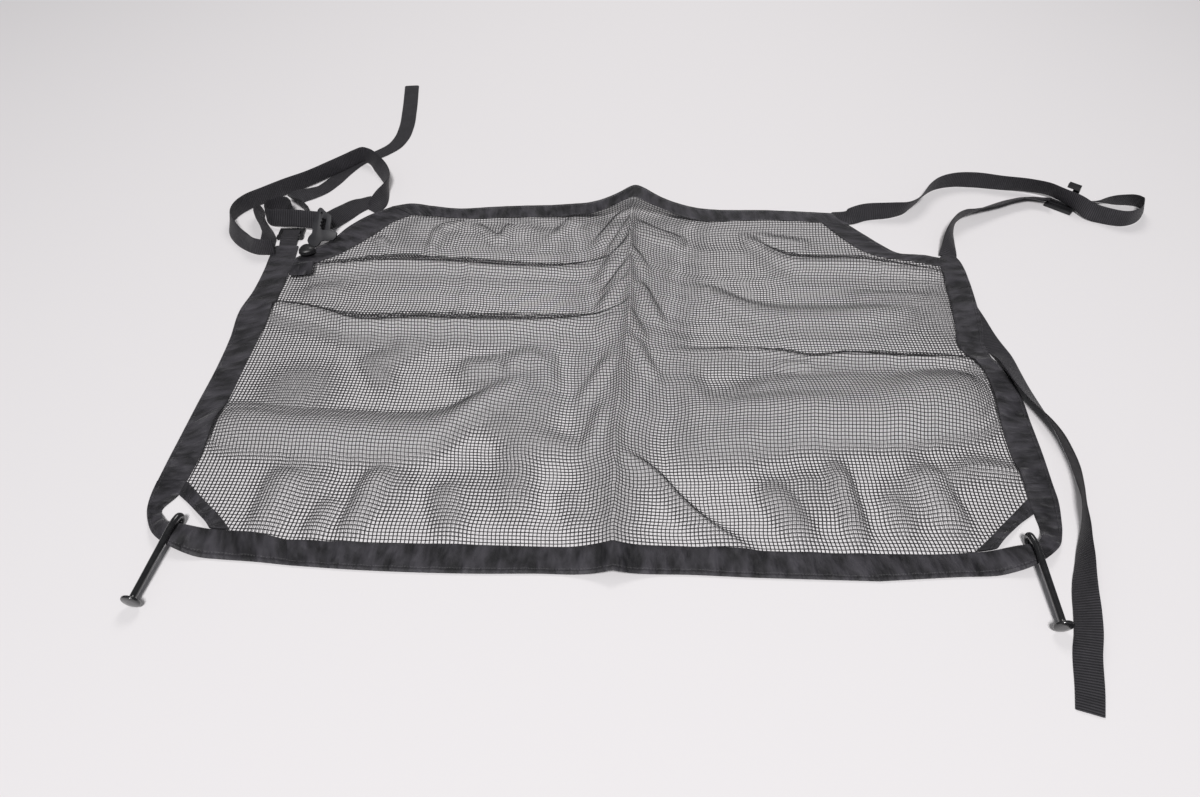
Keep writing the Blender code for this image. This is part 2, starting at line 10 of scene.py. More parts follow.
import bpy
import numpy as np
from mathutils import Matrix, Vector


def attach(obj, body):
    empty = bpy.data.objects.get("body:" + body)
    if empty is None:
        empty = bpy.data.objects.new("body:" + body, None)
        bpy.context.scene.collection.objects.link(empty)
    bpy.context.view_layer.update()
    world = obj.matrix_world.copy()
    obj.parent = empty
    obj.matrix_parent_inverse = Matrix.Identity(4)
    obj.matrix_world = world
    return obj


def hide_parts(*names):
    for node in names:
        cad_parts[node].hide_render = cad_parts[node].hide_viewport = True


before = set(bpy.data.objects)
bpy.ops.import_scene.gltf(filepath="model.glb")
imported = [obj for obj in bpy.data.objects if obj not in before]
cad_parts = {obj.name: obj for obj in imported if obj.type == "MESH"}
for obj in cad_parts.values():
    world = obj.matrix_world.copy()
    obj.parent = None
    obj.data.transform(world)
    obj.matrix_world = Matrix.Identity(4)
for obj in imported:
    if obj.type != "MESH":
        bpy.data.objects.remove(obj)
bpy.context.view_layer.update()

MM = 0.001
REST_X = -120.0
REST_Y = 10.0

BAND_THICK = 3.0            # folded tape with the edge of the mesh inside
BAND_STEP = 3.5             # rows of a tape, a strap, a hook, a crease and an edge of the mesh
WEB_STEP = 3.0
ROD_STEP = 2.5
CREASE_STEP = 12.0
EDGE_STEP = 4.0
NET_RISE = 1.4              # middle of a strand above the underside of the cloth
STRAND_WIDE = 0.78          # a strand of the mesh
STRAND_THICK = 0.45
NET_STRIPS = 5
NET_WIDE = 230              # squares of the whole mesh, with what the border hides
NET_DEEP = 150
EVEN_TURNS = 2              # how often the squares are evened out
NET_SPARE = 6               # squares at each side of it that lie past the lines below
UNDER_BAND = 6.0            # how far the mesh runs in between the layers of the border
WEB_WIDE = 25.0
WEB_THICK = 1.5
ROD_RADIUS = 3.5            # hooks
HEAD_RADIUS = 9.75

# Creases that run from side to side. Columns: x, y of the crest, its height,
# its reach towards the near edge and its reach towards the far edge.
CREASES_ACROSS = {
    "left_middle": [
        (-450, 415, 0, 40, 20), (-424, 410, 10, 50, 16), (-363, 393, 16, 55, 15),
        (-328, 378, 20, 55, 14), (-231, 376, 21, 55, 14), (-89, 373, 21, 55, 14),
        (-30, 376, 16, 55, 13), (0, 377, 11, 55, 13), (26, 383, 8, 50, 12), (46, 388, 0, 40, 12),
    ],
    "left_far": [
        (-430, 500, 0, 35, 22), (-387, 494, 11, 45, 16), (-296, 503, 18, 48, 14),
        (-221, 499, 19, 48, 14), (-96, 487, 18, 45, 14), (-21, 489, 10, 45, 14),
        (14, 492, 6, 40, 14), (40, 495, 0, 40, 14),
    ],
    "left_near": [
        (-465, 203, 0, 45, 30), (-431, 196, 12, 55, 44), (-358, 184, 17, 58, 48),
        (-282, 176, 18, 56, 50), (-225, 173, 18, 55, 50), (-187, 180, 17, 50, 48),
        (-151, 214, 16, 48, 38), (-108, 250, 11, 46, 38), (-70, 266, 0, 50, 40),
    ],
    "right_far": [
        (196, 566, 0, 60, 34), (218, 548, 10, 60, 30), (240, 522, 17, 58, 26),
        (264, 504, 20, 55, 24), (300, 499, 20, 54, 24), (353, 498, 20, 52, 24),
        (406, 488, 17, 48, 23), (461, 478, 9, 42, 20), (485, 474, 0, 40, 20),
    ],
    "right_shoulder": [
        (120, 438, 0, 40, 34), (159, 422, 9, 46, 34), (196, 397, 10, 50, 34),
        (299, 385, 10, 50, 34), (378, 391, 9, 46, 34), (430, 396, 0, 40, 34),
    ],
    "right_middle": [
        (60, 326, 0, 50, 22), (100, 320, 5, 50, 16), (186, 319, 10, 50, 13),
        (229, 314, 13, 46, 11), (264, 305, 13, 44, 11), (303, 311, 13, 46, 11),
        (369, 306, 13, 50, 11), (443, 304, 11, 50, 11), (466, 303, 5, 40, 12),
        (500, 300, 0, 30, 14),
    ],
    "right_near": [
        (70, 150, 0, 50, 90), (112, 164, 10, 52, 100), (158, 173, 14, 55, 105),
        (205, 191, 18, 60, 108), (251, 199, 19, 62, 105), (297, 202, 20, 62, 100),
        (342, 206, 25, 64, 95), (394, 230, 28, 80, 75), (440, 240, 20, 80, 60),
        (462, 243, 8, 70, 50), (490, 244, 0, 60, 40),
    ],
    "front_slant": [
        (20, 146, 0, 34, 18), (36, 137, 6, 40, 14), (52, 127, 10, 42, 12), (69, 108, 13, 44, 14),
        (87, 80, 12, 46, 16), (112, 52, 9, 44, 16), (146, 26, 4, 36, 18),
        (165, 12, 0, 30, 18),
    ],
    "front_right": [
        (340, 112, 0, 30, 26), (381, 117, 5, 34, 28), (407, 131, 6, 34, 28),
        (449, 125, 6, 30, 26), (480, 122, 0, 30, 26),
    ],
}

# The fold down the middle and a soft one beside it. Columns: y, x of the
# crest, its height, its reach to the left and its reach to the right.
CREASES_ALONG = {
    "middle_fold": [
        (-40, 12, 10, 56, 58), (-6, 12, 11, 58, 60), (25, 13, 12, 60, 62),
        (75, 14, 14, 64, 66), (115, 16, 16, 68, 72), (172, 18, 18, 74, 80),
        (251, 26, 20, 84, 92), (321, 33, 22, 94, 104), (385, 38, 25, 104, 114),
        (470, 40, 29, 118, 126), (551, 43, 33, 132, 138), (613, 48, 36, 144, 148),
        (651, 53, 38, 147, 150), (690, 55, 38, 147, 150),
    ],
    "middle_edge": [
        (20, 13, 0, 12, 12), (60, 14, 3, 13, 12), (115, 16, 4, 13, 12), (172, 18, 4.5, 14, 12),
        (251, 26, 5, 14, 12), (321, 33, 6, 13, 12), (385, 38, 7, 12, 12), (470, 40, 8, 12, 12),
        (551, 43, 8, 12, 13), (596, 47, 5, 14, 14), (612, 48, 0, 16, 16),
    ],
    "left_bulge": [
        (130, -52, 0, 60, 40), (160, -58, 7, 70, 50), (189, -90, 8, 80, 55),
        (238, -90, 8, 80, 60), (262, -112, 6, 80, 60), (300, -120, 0, 70, 60),
    ],
}
CREST_POWER = 1.6           # a crease is steep at its crest and eases to the foot
RIDGE_POWER = 2.4           # the middle fold is sharper at its crest
BLEND_POWER = 3.0           # where folds cross, the higher one leads
TIP_SPAN = (590, 612)       # between these the middle fold turns round, under the far band
TIP_RADII = (1.0, 9.0)
SOFT = ("left_near", "right_near", "right_shoulder", "left_bulge")

# Rounded rises. Columns: x, y of the middle, reach, height.
RISES = [
    (-438, 36, 50, 9),          # the left hook under the band
    (438, 12, 50, 9),           # the right hook under the band
    (487, 392, 105, 4.4),       # the right tail under the band
    (-359, 252, 70, 4),
    (-327, 110, 60, 4),
    (-232, 102, 55, 4),
    (-130, 100, 60, 3),
    (221, 92, 55, 4),
    (337, 86, 50, 4),
    (-250, 580, 60, 5),
    (-120, 570, 60, 5),
]

# Small pleats: both ends of the crest, its height and its reach to each side.
PLEATS = [
    (38, 590, -6, 528, 10, 16), (42, 520, 0, 452, 10, 15), (38, 470, 6, 420, 8, 11),
    (36, 440, -2, 394, 9, 13), (50, 436, 78, 364, 10, 14), (44, 500, 64, 460, 7, 12),
    (40, 560, 10, 500, 6, 10), (36, 335, 68, 264, 7.5, 14), (16, 306, -24, 226, 7, 15),
    (36, 372, 54, 328, 7, 12), (4, 220, -16, 146, 6, 14), (44, 554, 122, 544, 10, 22),
    (-70, 556, -34, 612, 6.5, 16), (-240, 524, -231, 585, 7.5, 14), (-231, 585, -197, 605, 6, 13),
    (-184, 600, -144, 551, 6.5, 13), (-144, 551, -128, 596, 6, 12), (-300, 540, -322, 566, 4.5, 16),
    (-118, 296, -70, 314, 9, 28), (-172, 288, -118, 296, 8, 26), (-70, 314, -60, 246, 7, 24),
    (-270, 296, -225, 342, 5, 30), (-290, 320, -250, 250, 4, 26), (-400, 440, -340, 452, 4, 18),
    (-338, 128, -352, 40, 8, 28), (-282, 88, -300, 34, 5.5, 20), (-236, 132, -262, 34, 9.5, 22),
    (-172, 108, -150, 30, 7, 28), (-96, 176, -84, 52, 6.5, 32), (-40, 96, -20, 40, 4, 20),
    (120, 220, 300, 214, 5, 26), (176, 108, 214, 26, 9, 26), (258, 140, 266, 28, 10, 20),
    (306, 92, 318, 36, 5, 22), (350, 134, 372, 42, 10, 26), (100, 300, 116, 190, 5, 30),
    (220, 566, 300, 544, 6, 22), (330, 432, 440, 424, 4.5, 20), (212, 292, 262, 288, 6, 10),
]

PLEAT_ENDS = 0.2            # share of its height that a pleat keeps at its ends

# Bands and bindings. Columns: x, y of the outer edge, x, y of the inner edge.
BANDS = {
    "band_loop_left": [
        (-482, 112, -450, 112), (-482, 92, -452, 93), (-479, 72, -463, 73),
        (-471, 54, -457, 61), (-457, 35, -449, 53), (-438, 21.5, -436, 49),
        (-415, 13, -414, 46), (-386, 9.5, -392, 46), (-350, 6.5, -362, 43),
        (-312, 2, -322, 34),
    ],
    "band_front": [
        (-312.1, 2, -322.1, 34), (-250, -3, -250, 30), (-120, -8, -120, 27),
        (-60, -8, -60, 25), (12, -11, 13, 24), (60, -9, 60, 26),
        (160, -13, 160, 20), (277.1, -17, 270.1, 15),
    ],
    "band_loop_right": [
        (277, -17, 270, 15), (358, -12, 355, 16),
        (400, -10, 396, 19), (432, -3, 420, 21), (456, 12, 441, 24),
        (470, 26, 451, 33), (478, 42, 456, 45), (484, 62, 457, 64),
        (489, 84, 457, 86), (491, 106, 460, 106),
    ],
    "band_left": [
        (-481.5, 112.6, -449.5, 112.6), (-480, 145, -446, 150), (-478, 178, -443, 195),
        (-475, 230, -440, 241), (-471, 288, -437, 295), (-470, 346, -433, 361),
        (-473, 406, -430, 420), (-467, 440, -429, 460), (-464, 490, -428, 500),
        (-464, 530, -428, 530), (-462, 546, -429, 546),
    ],
    "band_right": [
        (491, 106.6, 460, 106.6), (495, 150, 459, 147), (498, 200, 463, 205),
        (501, 250, 468, 250), (497, 283, 470, 283), (486, 311, 460, 307),
        (483.5, 326, 452, 327), (490, 365, 456, 364), (497, 420, 463, 414),
        (502.5, 468, 469, 468), (504, 492, 472, 497), (502, 514, 475, 516),
        (497, 527, 483, 527),
    ],
    "band_back": [
        (-313, 648, -281, 626), (-288, 656, -262, 623), (-250, 649, -240, 620),
        (-218, 643, -212, 617), (-150, 648, -150, 618), (-91, 651, -89, 620),
        (-40, 648, -40, 617), (-12, 642, -9, 612), (25, 642, 22, 613),
        (53, 647, 47, 617), (92, 640, 92, 613), (133, 637, 140, 607),
        (198, 638, 200, 611), (240, 638, 240, 613), (300, 634, 310, 608),
        (344, 630, 365.5, 600.6),
    ],
    "band_corner_left": [
        (-313.5, 647.2, -281.6, 625.2), (-344, 624, -306, 606), (-368, 595, -326, 577),
        (-384, 565, -349, 548), (-404, 542, -371, 526), (-424, 522, -392, 510),
        (-427.4, 518, -427.4, 484),
    ],
    "band_corner_right": [
        (364.2, 599.2, 326, 605.6), (383, 574, 341, 578), (402, 549, 359, 551),
        (422, 529, 379, 530), (444, 526, 404, 518), (460, 524, 436, 511),
        (473.4, 519, 467.6, 500.5), (486, 515, 480, 497),
    ],
    "binding_left": [
        (-451.4, 92.2, -448.9, 111.4), (-440, 82.5, -435.6, 98.3),
        (-423, 66, -412.5, 75.8), (-407.6, 50.5, -396.6, 60.4), (-405, 46.9, -384.4, 46.9),
    ],
    "binding_right": [
        (404.5, 21.4, 381.5, 18.9), (413, 30.5, 398, 32.6),
        (425, 41.5, 413, 46.5), (440, 54.5, 431, 63), (456.1, 66, 456.4, 86.4),
    ],
}

# The folded tab on the left corner, in the columns of a band.
LABEL = [(-424, 501, -424, 474), (-408, 502, -408, 473), (-393, 501, -393, 474)]
LABEL_RISE = 4.2            # above the tape and the mesh that it is sewn to
LABEL_THICK = 1.0
LABEL_PUCKER = 0.2

# Right-hand edge of each strap, seen from above in the way it runs, and the
# angle at which its width rises from the surface on the left of that edge.
# Columns: x, y, z, angle in degrees.
STRAPS = {
    "strap_back_right": [
        (365.9, 601.1, 1, 26), (392, 611, 1, 60), (431, 619, 1, 84), (450, 628, 1, 102),
        (462, 641, 1, 112), (475, 655, 1, 112), (492, 676, 1, 104), (512, 693, 1, 98),
        (543, 703, 1, 90), (572, 702, 1, 84), (614, 695, 1, 92), (654, 686, 3, 99),
        (678, 674, 5.4, 104), (697, 650, 5.4, 98), (706, 632, 5.4, 84), (716, 616, 1.6, 66),
        (738, 603, 1, 78), (764, 597, 1, 86), (786, 605, 1, 86), (804, 624, 1, 78),
        (811, 637, 1, 72), (806, 648, 1, 70), (794, 652, 1, 72), (780, 653, 1, 70),
        (765, 657, 1, 58), (750, 661.5, 1, 38), (730, 664, 1, 22),
    ],
    "strap_side_right": [
        (502.5, 526.5, 1, 18), (507, 552, 1, 44), (511.5, 578, 1, 74), (518, 598, 1, 96),
        (528, 612, 1, 110), (541, 623, 1, 124), (562, 638, 1, 138), (587, 652, 1, 147),
        (620, 667, 1, 147), (648, 673, 1, 146), (660, 669.5, 1, 143),
        (670.5, 664.5, 1, 140),
    ],
    "strap_tail_right": [
        (497, 420, 0.9, 180), (501, 389, 0.9, 180), (505, 352, 0.9, 180), (507.8, 337, 0.9, 180),
        (510.4, 326, 0.9, 180), (512.2, 317, 1, 174), (513.4, 306, 1, 166),
        (514, 290, 1, 159), (516, 254, 1, 150), (519, 226, 1, 142), (521, 207, 1, 132),
        (522, 183, 1, 118), (521.5, 160, 1, 107), (520.7, 136, 1, 103),
        (518.5, 115, 1, 100), (514.8, 86, 1, 104), (505, 60, 1, 98), (494, 38, 1, 83),
        (484.7, 20.5, 1, 72), (476, 2, 1, 60), (468.5, -13, 1, 50), (461, -32, 1, 40),
        (455.5, -50, 1, 32), (447.5, -74, 1, 25), (439.8, -92, 0.9, 18),
        (427.5, -131, 0.9, 6), (421, -150, 0.9, 0),
    ],
    "strap_tail_left": [
        (-424, 614, 1.2, 84), (-436, 632, 1.2, 78), (-447, 648, 1.2, 56), (-448, 658, 1.3, 30),
        (-434, 670, 1.2, 14), (-419, 684, 1.1, 5), (-403, 712, 1, 1.5),
        (-391, 742, 1, 0.4), (-374, 773, 0.9, 0), (-349, 793, 0.9, 0), (-326, 822, 0.9, 0),
        (-317, 852, 0.9, 0), (-314.5, 889, 0.9, 0), (-318, 949, 0.9, 0), (-327, 1040, 0.9, 0),
    ],
    "strap_loop_left": [
        (-326.3, 638.4, 1, 10), (-321.5, 650, 1, 30), (-320.5, 664, 1, 62),
        (-325, 690, 1.2, 100), (-340, 720, 2.4, 122), (-356, 748, 2.4, 120),
        (-369, 770, 2.4, 102), (-377, 776, 2.4, 94), (-386, 768, 2.4, 96), (-398, 754, 2.4, 98),
        (-419, 732, 2.4, 98), (-448, 703, 2.4, 98), (-477, 680, 2.4, 100), (-504, 658, 1.4, 100),
        (-524, 641, 1, 98), (-536, 622, 1, 90), (-541, 600, 1, 78), (-537, 578, 1, 62),
        (-524, 557, 1, 58), (-505, 539, 1, 62), (-484, 527.5, 1, 78),
        (-464.7, 526, 1, 86),
    ],
    "strap_arc_left": [
        (-463.2, 549, 1, 56), (-465, 563, 1, 50), (-473.5, 581, 1, 50),
        (-485.5, 599, 1, 54), (-495, 616, 1, 62), (-499, 632, 1, 72),
    ],
    "strap_coil_left": [
        (-455, 611, 1, 88), (-454, 624, 1, 90), (-463, 635, 1, 92),
        (-479, 635, 1, 94), (-489, 624, 1, 92), (-490, 610, 1, 86),
        (-482, 598.5, 1.6, 76), (-463, 592.6, 3.6, 66), (-440, 588.4, 5.3, 62),
        (-412.5, 583.4, 5.8, 60),
    ],
    "strap_buckle_left": [
        (-386.5, 584, 6, 62), (-376, 600, 3.6, 54), (-366, 616, 1.6, 42),
        (-354.5, 634, 1, 26), (-345, 644, 1, 14), (-341.5, 647.6, 1, 10),
    ],
    "strap_lock_left": [
        (-458, 579.5, 5.7, 0), (-458, 568, 5.7, 0), (-458, 561, 5.4, 0),
        (-457.8, 554, 2.8, 0), (-457.6, 546.9, 1, 0),
    ],
}

# Ends that run on under the tape or up to the fitting next to them.
# Columns: piece, at its start or its end, row.
TUCKED = [
    ("strap_back_right", "start", (338, 609, 0.9, 1)), ("strap_back_right", "end", (715, 663, 1, 12)),
    ("strap_side_right", "start", (500, 517, 0.9, 4)), ("strap_side_right", "end", (679, 659, 2, 136)),
    ("strap_loop_left", "start", (-333, 630, 0.9, 2)), ("strap_loop_left", "end", (-457, 526, 0.9, 84)),
    ("strap_arc_left", "start", (-461, 541, 0.9, 50)), ("strap_lock_left", "end", (-457.5, 540, 0.9, 0)),
    ("strap_coil_left", "start", (-457, 603, 1, 84)), ("strap_coil_left", "end", (-401, 581.5, 6.2, 60)),
    ("strap_buckle_left", "start", (-400, 574, 8, 66)), ("strap_buckle_left", "end", (-334, 653, 0.9, 6)),
]
HEMMED = {"strap_tail_right": 14.0, "strap_tail_left": 14.0}     # length of the doubled end
HEM_THICK = 1.75            # times the thickness of the webbing

# Hooks: centre of the rod from the outer face of its head to its tip.
# Columns: x, y, z.
HOOKS = {
    "hook_left": [
        (-450.6, -47, 10), (-449.9, -42, 10.4), (-446.6, -20, 11.9), (-443.7, 0, 13.3),
        (-441.6, 14, 14.3), (-439.6, 28, 15.5), (-438, 39, 16.1),
        (-436.4, 48, 16), (-435.2, 54.4, 14.2), (-434.8, 56.6, 9.9), (-435.3, 54.6, 5.7),
        (-436.6, 48, 3.85), (-438.4, 39, 3.8), (-439.6, 33, 3.8),
    ],
    "hook_right": [
        (435.4, -74, 10), (435.5, -69, 10.4), (436.1, -46, 11.9), (436.6, -26, 13.3),
        (437, -12, 14.3), (437.3, 2, 15.5), (437.5, 13, 16.1),
        (436.6, 23, 16), (436, 29.4, 14.2), (435.8, 31.6, 9.9), (436, 29.6, 5.7),
        (436.6, 23, 3.85), (437.6, 13, 3.8), (438.2, 7, 3.8),
    ],
}

# Head and collar of a hook, and its tip. Columns: distance on from the first
# or the last point of its line, radius.
HEAD_PROFILE = [
    (-0.2, 4.0), (0.0, 8.4), (0.5, HEAD_RADIUS - 0.3), (1.2, HEAD_RADIUS), (2.4, HEAD_RADIUS),
    (3.0, HEAD_RADIUS - 0.4), (3.4, 6.4), (4.2, ROD_RADIUS + 0.9), (5.4, ROD_RADIUS + 0.1),
]
TIP_PROFILE = [(1.2, ROD_RADIUS * 0.85), (2.2, ROD_RADIUS * 0.4)]
COLLAR_END = 6.6
BENT_PART = 30.0            # past this the line may turn back beside the head
ROD_SIDES = 24

PUCKER = 1.1                # height of the puckers of the tape
DENT_LENGTHS = (19.0, 31.0, 61.0)
SLANT_LENGTHS = (15.0, 26.0, 43.0)
NAME_PHASE = 0.37           # these three set each tape's waves apart
SLANT_PHASE = 2.0
WAVE_SHIFT = 1.7
CALM_END = 14.0             # they fade out over this length at the ends of a tape
NODES_UNDER = {"band_loop_right": ("band_loop_right", "band_curve_right")}

# One turn round a flat tape: share of the width, share of the thickness.
RING = [
    (0.0, 0.5), (0.04, 0.82), (0.12, 0.96), (0.3, 1.0), (0.5, 1.0), (0.7, 1.0),
    (0.88, 0.96), (0.96, 0.82), (1.0, 0.5), (0.96, 0.18), (0.88, 0.04), (0.7, 0.0),
    (0.5, 0.0), (0.3, 0.0), (0.12, 0.04), (0.04, 0.18), (0.0, 0.5),
]


def place(x, y, z):
    """A point of the tables as a point of the frame, in metres."""
    return Vector(((x - REST_X) * MM, (y - REST_Y) * MM, z * MM))


def crest_height(name, table, along, across):
    """Height of one crease at points of the cloth: sharp at its crest, or round for a soft one."""
    rows = smooth_rows(table, CREASE_STEP)
    crest, height, low, high = (np.interp(along, rows[:, 0], rows[:, k]) for k in range(1, 5))
    away = across - crest
    if name == "middle_fold":
        blunt = np.interp(along, TIP_SPAN, TIP_RADII)
        away = np.sign(away) * (np.hypot(away, blunt) - blunt)
    share = np.minimum(1.0, np.abs(away) / np.where(away > 0, high, low))
    if name in SOFT:
        shape = (1.0 - share * share) ** 2
    else:
        shape = (1.0 - share) ** (RIDGE_POWER if name == "middle_fold" else CREST_POWER)
    return np.where((along > rows[0, 0]) & (along < rows[-1, 0]), np.maximum(height, 0.0) * shape, 0.0)


def pleat_height(x, y):
    """Small pleats and hollows added to the main folds."""
    total = np.zeros_like(x)
    for ax, ay, bx, by, height, reach in PLEATS:
        size = math.hypot(bx - ax, by - ay)
        along = ((x - ax) * (bx - ax) + (y - ay) * (by - ay)) / size ** 2
        t = np.clip(along, 0.0, 1.0)
        away = np.hypot(x - ax - t * (bx - ax), y - ay - t * (by - ay)) / reach
        ease = np.clip(4 * t * (1 - t) + PLEAT_ENDS, 0, 1)
        total += height * np.maximum(0.0, 1.0 - away * away) ** 2 * ease
    return total


def lift(x, y):
    """Height of the underside of the cloth above the floor."""
    x, y = np.asarray(x, float), np.asarray(y, float)
    total = np.zeros_like(x)
    for name, table in CREASES_ACROSS.items():
        total += crest_height(name, table, x, y) ** BLEND_POWER
    total += crest_height("left_bulge", CREASES_ALONG["left_bulge"], y, x) ** BLEND_POWER
    for mid_x, mid_y, reach, height in RISES:
        share = np.minimum(1.0, np.hypot(x - mid_x, y - mid_y) / reach)
        total += (height * (1.0 - share * share) ** 2) ** BLEND_POWER
    ridge = crest_height("middle_fold", CREASES_ALONG["middle_fold"], y, x)
    ridge += crest_height("middle_edge", CREASES_ALONG["middle_edge"], y, x)
    return np.maximum(0.0, ridge + total ** (1.0 / BLEND_POWER) + pleat_height(x, y))


def smooth_rows(table, step):
    """Rows of a table, read every step or so from a smooth curve through them."""
    rows = np.array(table, float)
    spans = np.linalg.norm(np.diff(rows[:, :2], axis=0), axis=1)
    marks = np.concatenate(([0.0], np.cumsum(spans)))
    slopes = np.gradient(rows, marks, axis=0)
    fine = []
    for k, span in enumerate(spans):
        count = max(1, round(span / step))
        for share in np.arange(count) / count:
            rise = share * share * (3 - 2 * share)
            leave = share * (1 - share) ** 2 * span
            reach = share * share * (share - 1) * span
            row = (1 - rise) * rows[k] + rise * rows[k + 1] + leave * slopes[k] + reach * slopes[k + 1]
            fine.append(row)
    fine.append(rows[-1])
    return np.array(fine)


def run_length(points):
    steps = np.linalg.norm(np.diff(np.array(points, float), axis=0), axis=1)
    return np.concatenate(([0.0], np.cumsum(steps)))


# ---------------------------------------------------------------- materials

# Weaves and stitches, in metres.
RIB_PITCH = 0.0028
THREAD_PITCH = 0.0009
TWILL_PITCH = 0.0011
STITCH_PITCH = 0.0032
WAVE_TURN = 20.0            # radians a metre, in a wave texture of scale 1
SEAM_INSET = 0.0045         # from the edge of a tape to its line of stitches


def new_material(name, values):
    """A material, its node tree and its Principled shader with those values."""
    made = bpy.data.materials.new(name)
    made.use_nodes = True
    shader = made.node_tree.nodes["Principled BSDF"]
    for key, value in values.items():
        shader.inputs[key].default_value = value
    return made, made.node_tree, shader


def node(tree, kind, values=None, **settings):
    made = tree.nodes.new(kind)
    for key, value in settings.items():
        setattr(made, key, value)
    for key, value in (values or {}).items():
        made.inputs[key].default_value = value
    return made


def link(tree, source, output, target, entry):
    tree.links.new(source.outputs[output], target.inputs[entry])


def math_node(tree, operation, first, second=None):
    """first and second are (node, output) pairs or plain numbers."""
    made = node(tree, "ShaderNodeMath", operation=operation)
    for k, value in enumerate((first, second)):
        if isinstance(value, tuple):
            tree.links.new(value[0].outputs[value[1]], made.inputs[k])
        elif value is not None:
            made.inputs[k].default_value = value
    return made


def colour_between(tree, source, output, shader, dark, light, low=0.3, high=0.7):
    """Gives the shader a colour from dark to light, driven by one output."""
    ramp = node(tree, "ShaderNodeValToRGB")
    ramp.color_ramp.elements[0].position = low
    ramp.color_ramp.elements[0].color = (*dark, 1.0)
    ramp.color_ramp.elements[1].position = high
    ramp.color_ramp.elements[1].color = (*light, 1.0)
    link(tree, source, output, ramp, "Fac")
    link(tree, ramp, "Color", shader, "Base Color")


def relief(tree, source, output, shader, strength, depth):
    """Bumps of that depth in metres, raised by one output."""
    bump = node(tree, "ShaderNodeBump", {"Strength": strength, "Distance": depth})
    link(tree, source, output, bump, "Height")
    link(tree, bump, "Normal", shader, "Normal")


def noise(tree, scale, detail):
    """Uneven patches in the object's own space."""
    made = node(tree, "ShaderNodeTexNoise", {"Scale": scale, "Detail": detail})
    link(tree, node(tree, "ShaderNodeTexCoord"), "Object", made, "Vector")
    return made


def stripes(tree, length, direction, values=None):
    """A wave texture whose stripes repeat every length metres."""
    return node(tree, "ShaderNodeTexWave", {"Scale": 2.0 * math.pi / (WAVE_TURN * length), **(values or {})},
                wave_type="BANDS", bands_direction=direction, wave_profile="SIN")


def webbing_material():
    """Flat webbing: close ribs across its width, fine threads along it, with painted shade in the grooves
    between the ribs.
    """
    made, tree, shader = new_material("ribbed_webbing", {"Roughness": 0.62, "Sheen Weight": 0.06,
                                                         "Sheen Roughness": 0.4})
    spot = node(tree, "ShaderNodeUVMap", uv_map="UVMap")
    ribs = stripes(tree, RIB_PITCH, "X", {"Distortion": 0.35, "Detail": 1.0, "Detail Scale": 0.6})
    threads = stripes(tree, THREAD_PITCH, "Y")
    wear = node(tree, "ShaderNodeTexNoise", {"Scale": 60.0, "Detail": 4.0, "Roughness": 0.6})
    for texture in (ribs, threads, wear):
        link(tree, spot, "UV", texture, "Vector")
    cloth = math_node(tree, "MULTIPLY", (threads, "Fac"), 0.3)
    height = math_node(tree, "ADD", (ribs, "Fac"), (cloth, 0))
    # colour: painted shade in the grooves between the ribs, times an uneven random tone
    groove_shade_and_wear = math_node(tree, "MULTIPLY", (ribs, "Fac"), (wear, "Fac"))
    colour_between(tree, groove_shade_and_wear, 0, shader, (0.005, 0.0047, 0.007), (0.033, 0.0305, 0.0375), 0.05, 0.6)
    relief(tree, height, 0, shader, 0.8, 0.0006)
    return made


def tape_material():
    """Folded border tape: satin weave, soft puckers with painted shade in their hollows and painted
    highlights on their tops, and a line of stitches along its outer edge.
    """
    made, tree, shader = new_material("border_tape", {"Roughness": 0.58, "Sheen Weight": 0.11,
                                                      "Sheen Roughness": 0.35})
    spot = node(tree, "ShaderNodeUVMap", uv_map="UVMap")
    long_way = node(tree, "ShaderNodeMapping", {"Scale": (1.0, 0.45, 1.0)})
    link(tree, spot, "UV", long_way, "Vector")
    pucker_relief_and_shade = node(tree, "ShaderNodeTexNoise", {"Scale": 62.0, "Detail": 2.5, "Roughness": 0.55})
    link(tree, long_way, "Vector", pucker_relief_and_shade, "Vector")
    slant = node(tree, "ShaderNodeMapping", {"Rotation": (0.0, 0.0, math.radians(38))})
    link(tree, spot, "UV", slant, "Vector")
    twill = stripes(tree, TWILL_PITCH, "X", {"Distortion": 0.6, "Detail": 1.0, "Detail Scale": 1.0})
    link(tree, slant, "Vector", twill, "Vector")
    parts = node(tree, "ShaderNodeSeparateXYZ")
    link(tree, spot, "UV", parts, "Vector")
    away = math_node(tree, "SUBTRACT", (parts, "Y"), SEAM_INSET)
    near = math_node(tree, "ABSOLUTE", (away, 0))
    seam = node(tree, "ShaderNodeMapRange", {"From Min": 0.0004, "From Max": 0.0014})
    link(tree, near, 0, seam, "Value")
    beat = math_node(tree, "MULTIPLY", (parts, "X"), 2.0 * math.pi / STITCH_PITCH)
    stitch = math_node(tree, "SINE", (beat, 0))
    thread = math_node(tree, "MULTIPLY", (stitch, 0), 0.35)
    inside = math_node(tree, "SUBTRACT", 1.0, (seam, "Result"))
    raised = math_node(tree, "MULTIPLY", (thread, 0), (inside, 0))
    dented = math_node(tree, "ADD", (seam, "Result"), (raised, 0))
    weave = math_node(tree, "MULTIPLY", (twill, "Fac"), 0.22)
    swell = math_node(tree, "MULTIPLY", (pucker_relief_and_shade, "Fac"), 11.0)
    height = math_node(tree, "ADD", (dented, 0), (weave, 0))
    height = math_node(tree, "ADD", (height, 0), (swell, 0))
    # The puckers also set the colour: painted shade in their hollows and a painted highlight on their raised
    # tops.
    colour_between(tree, pucker_relief_and_shade, "Fac", shader, (0.005, 0.0047, 0.0065), (0.046, 0.0435, 0.052),
                   0.38, 0.64)
    relief(tree, height, 0, shader, 0.9, 0.0007)
    return made


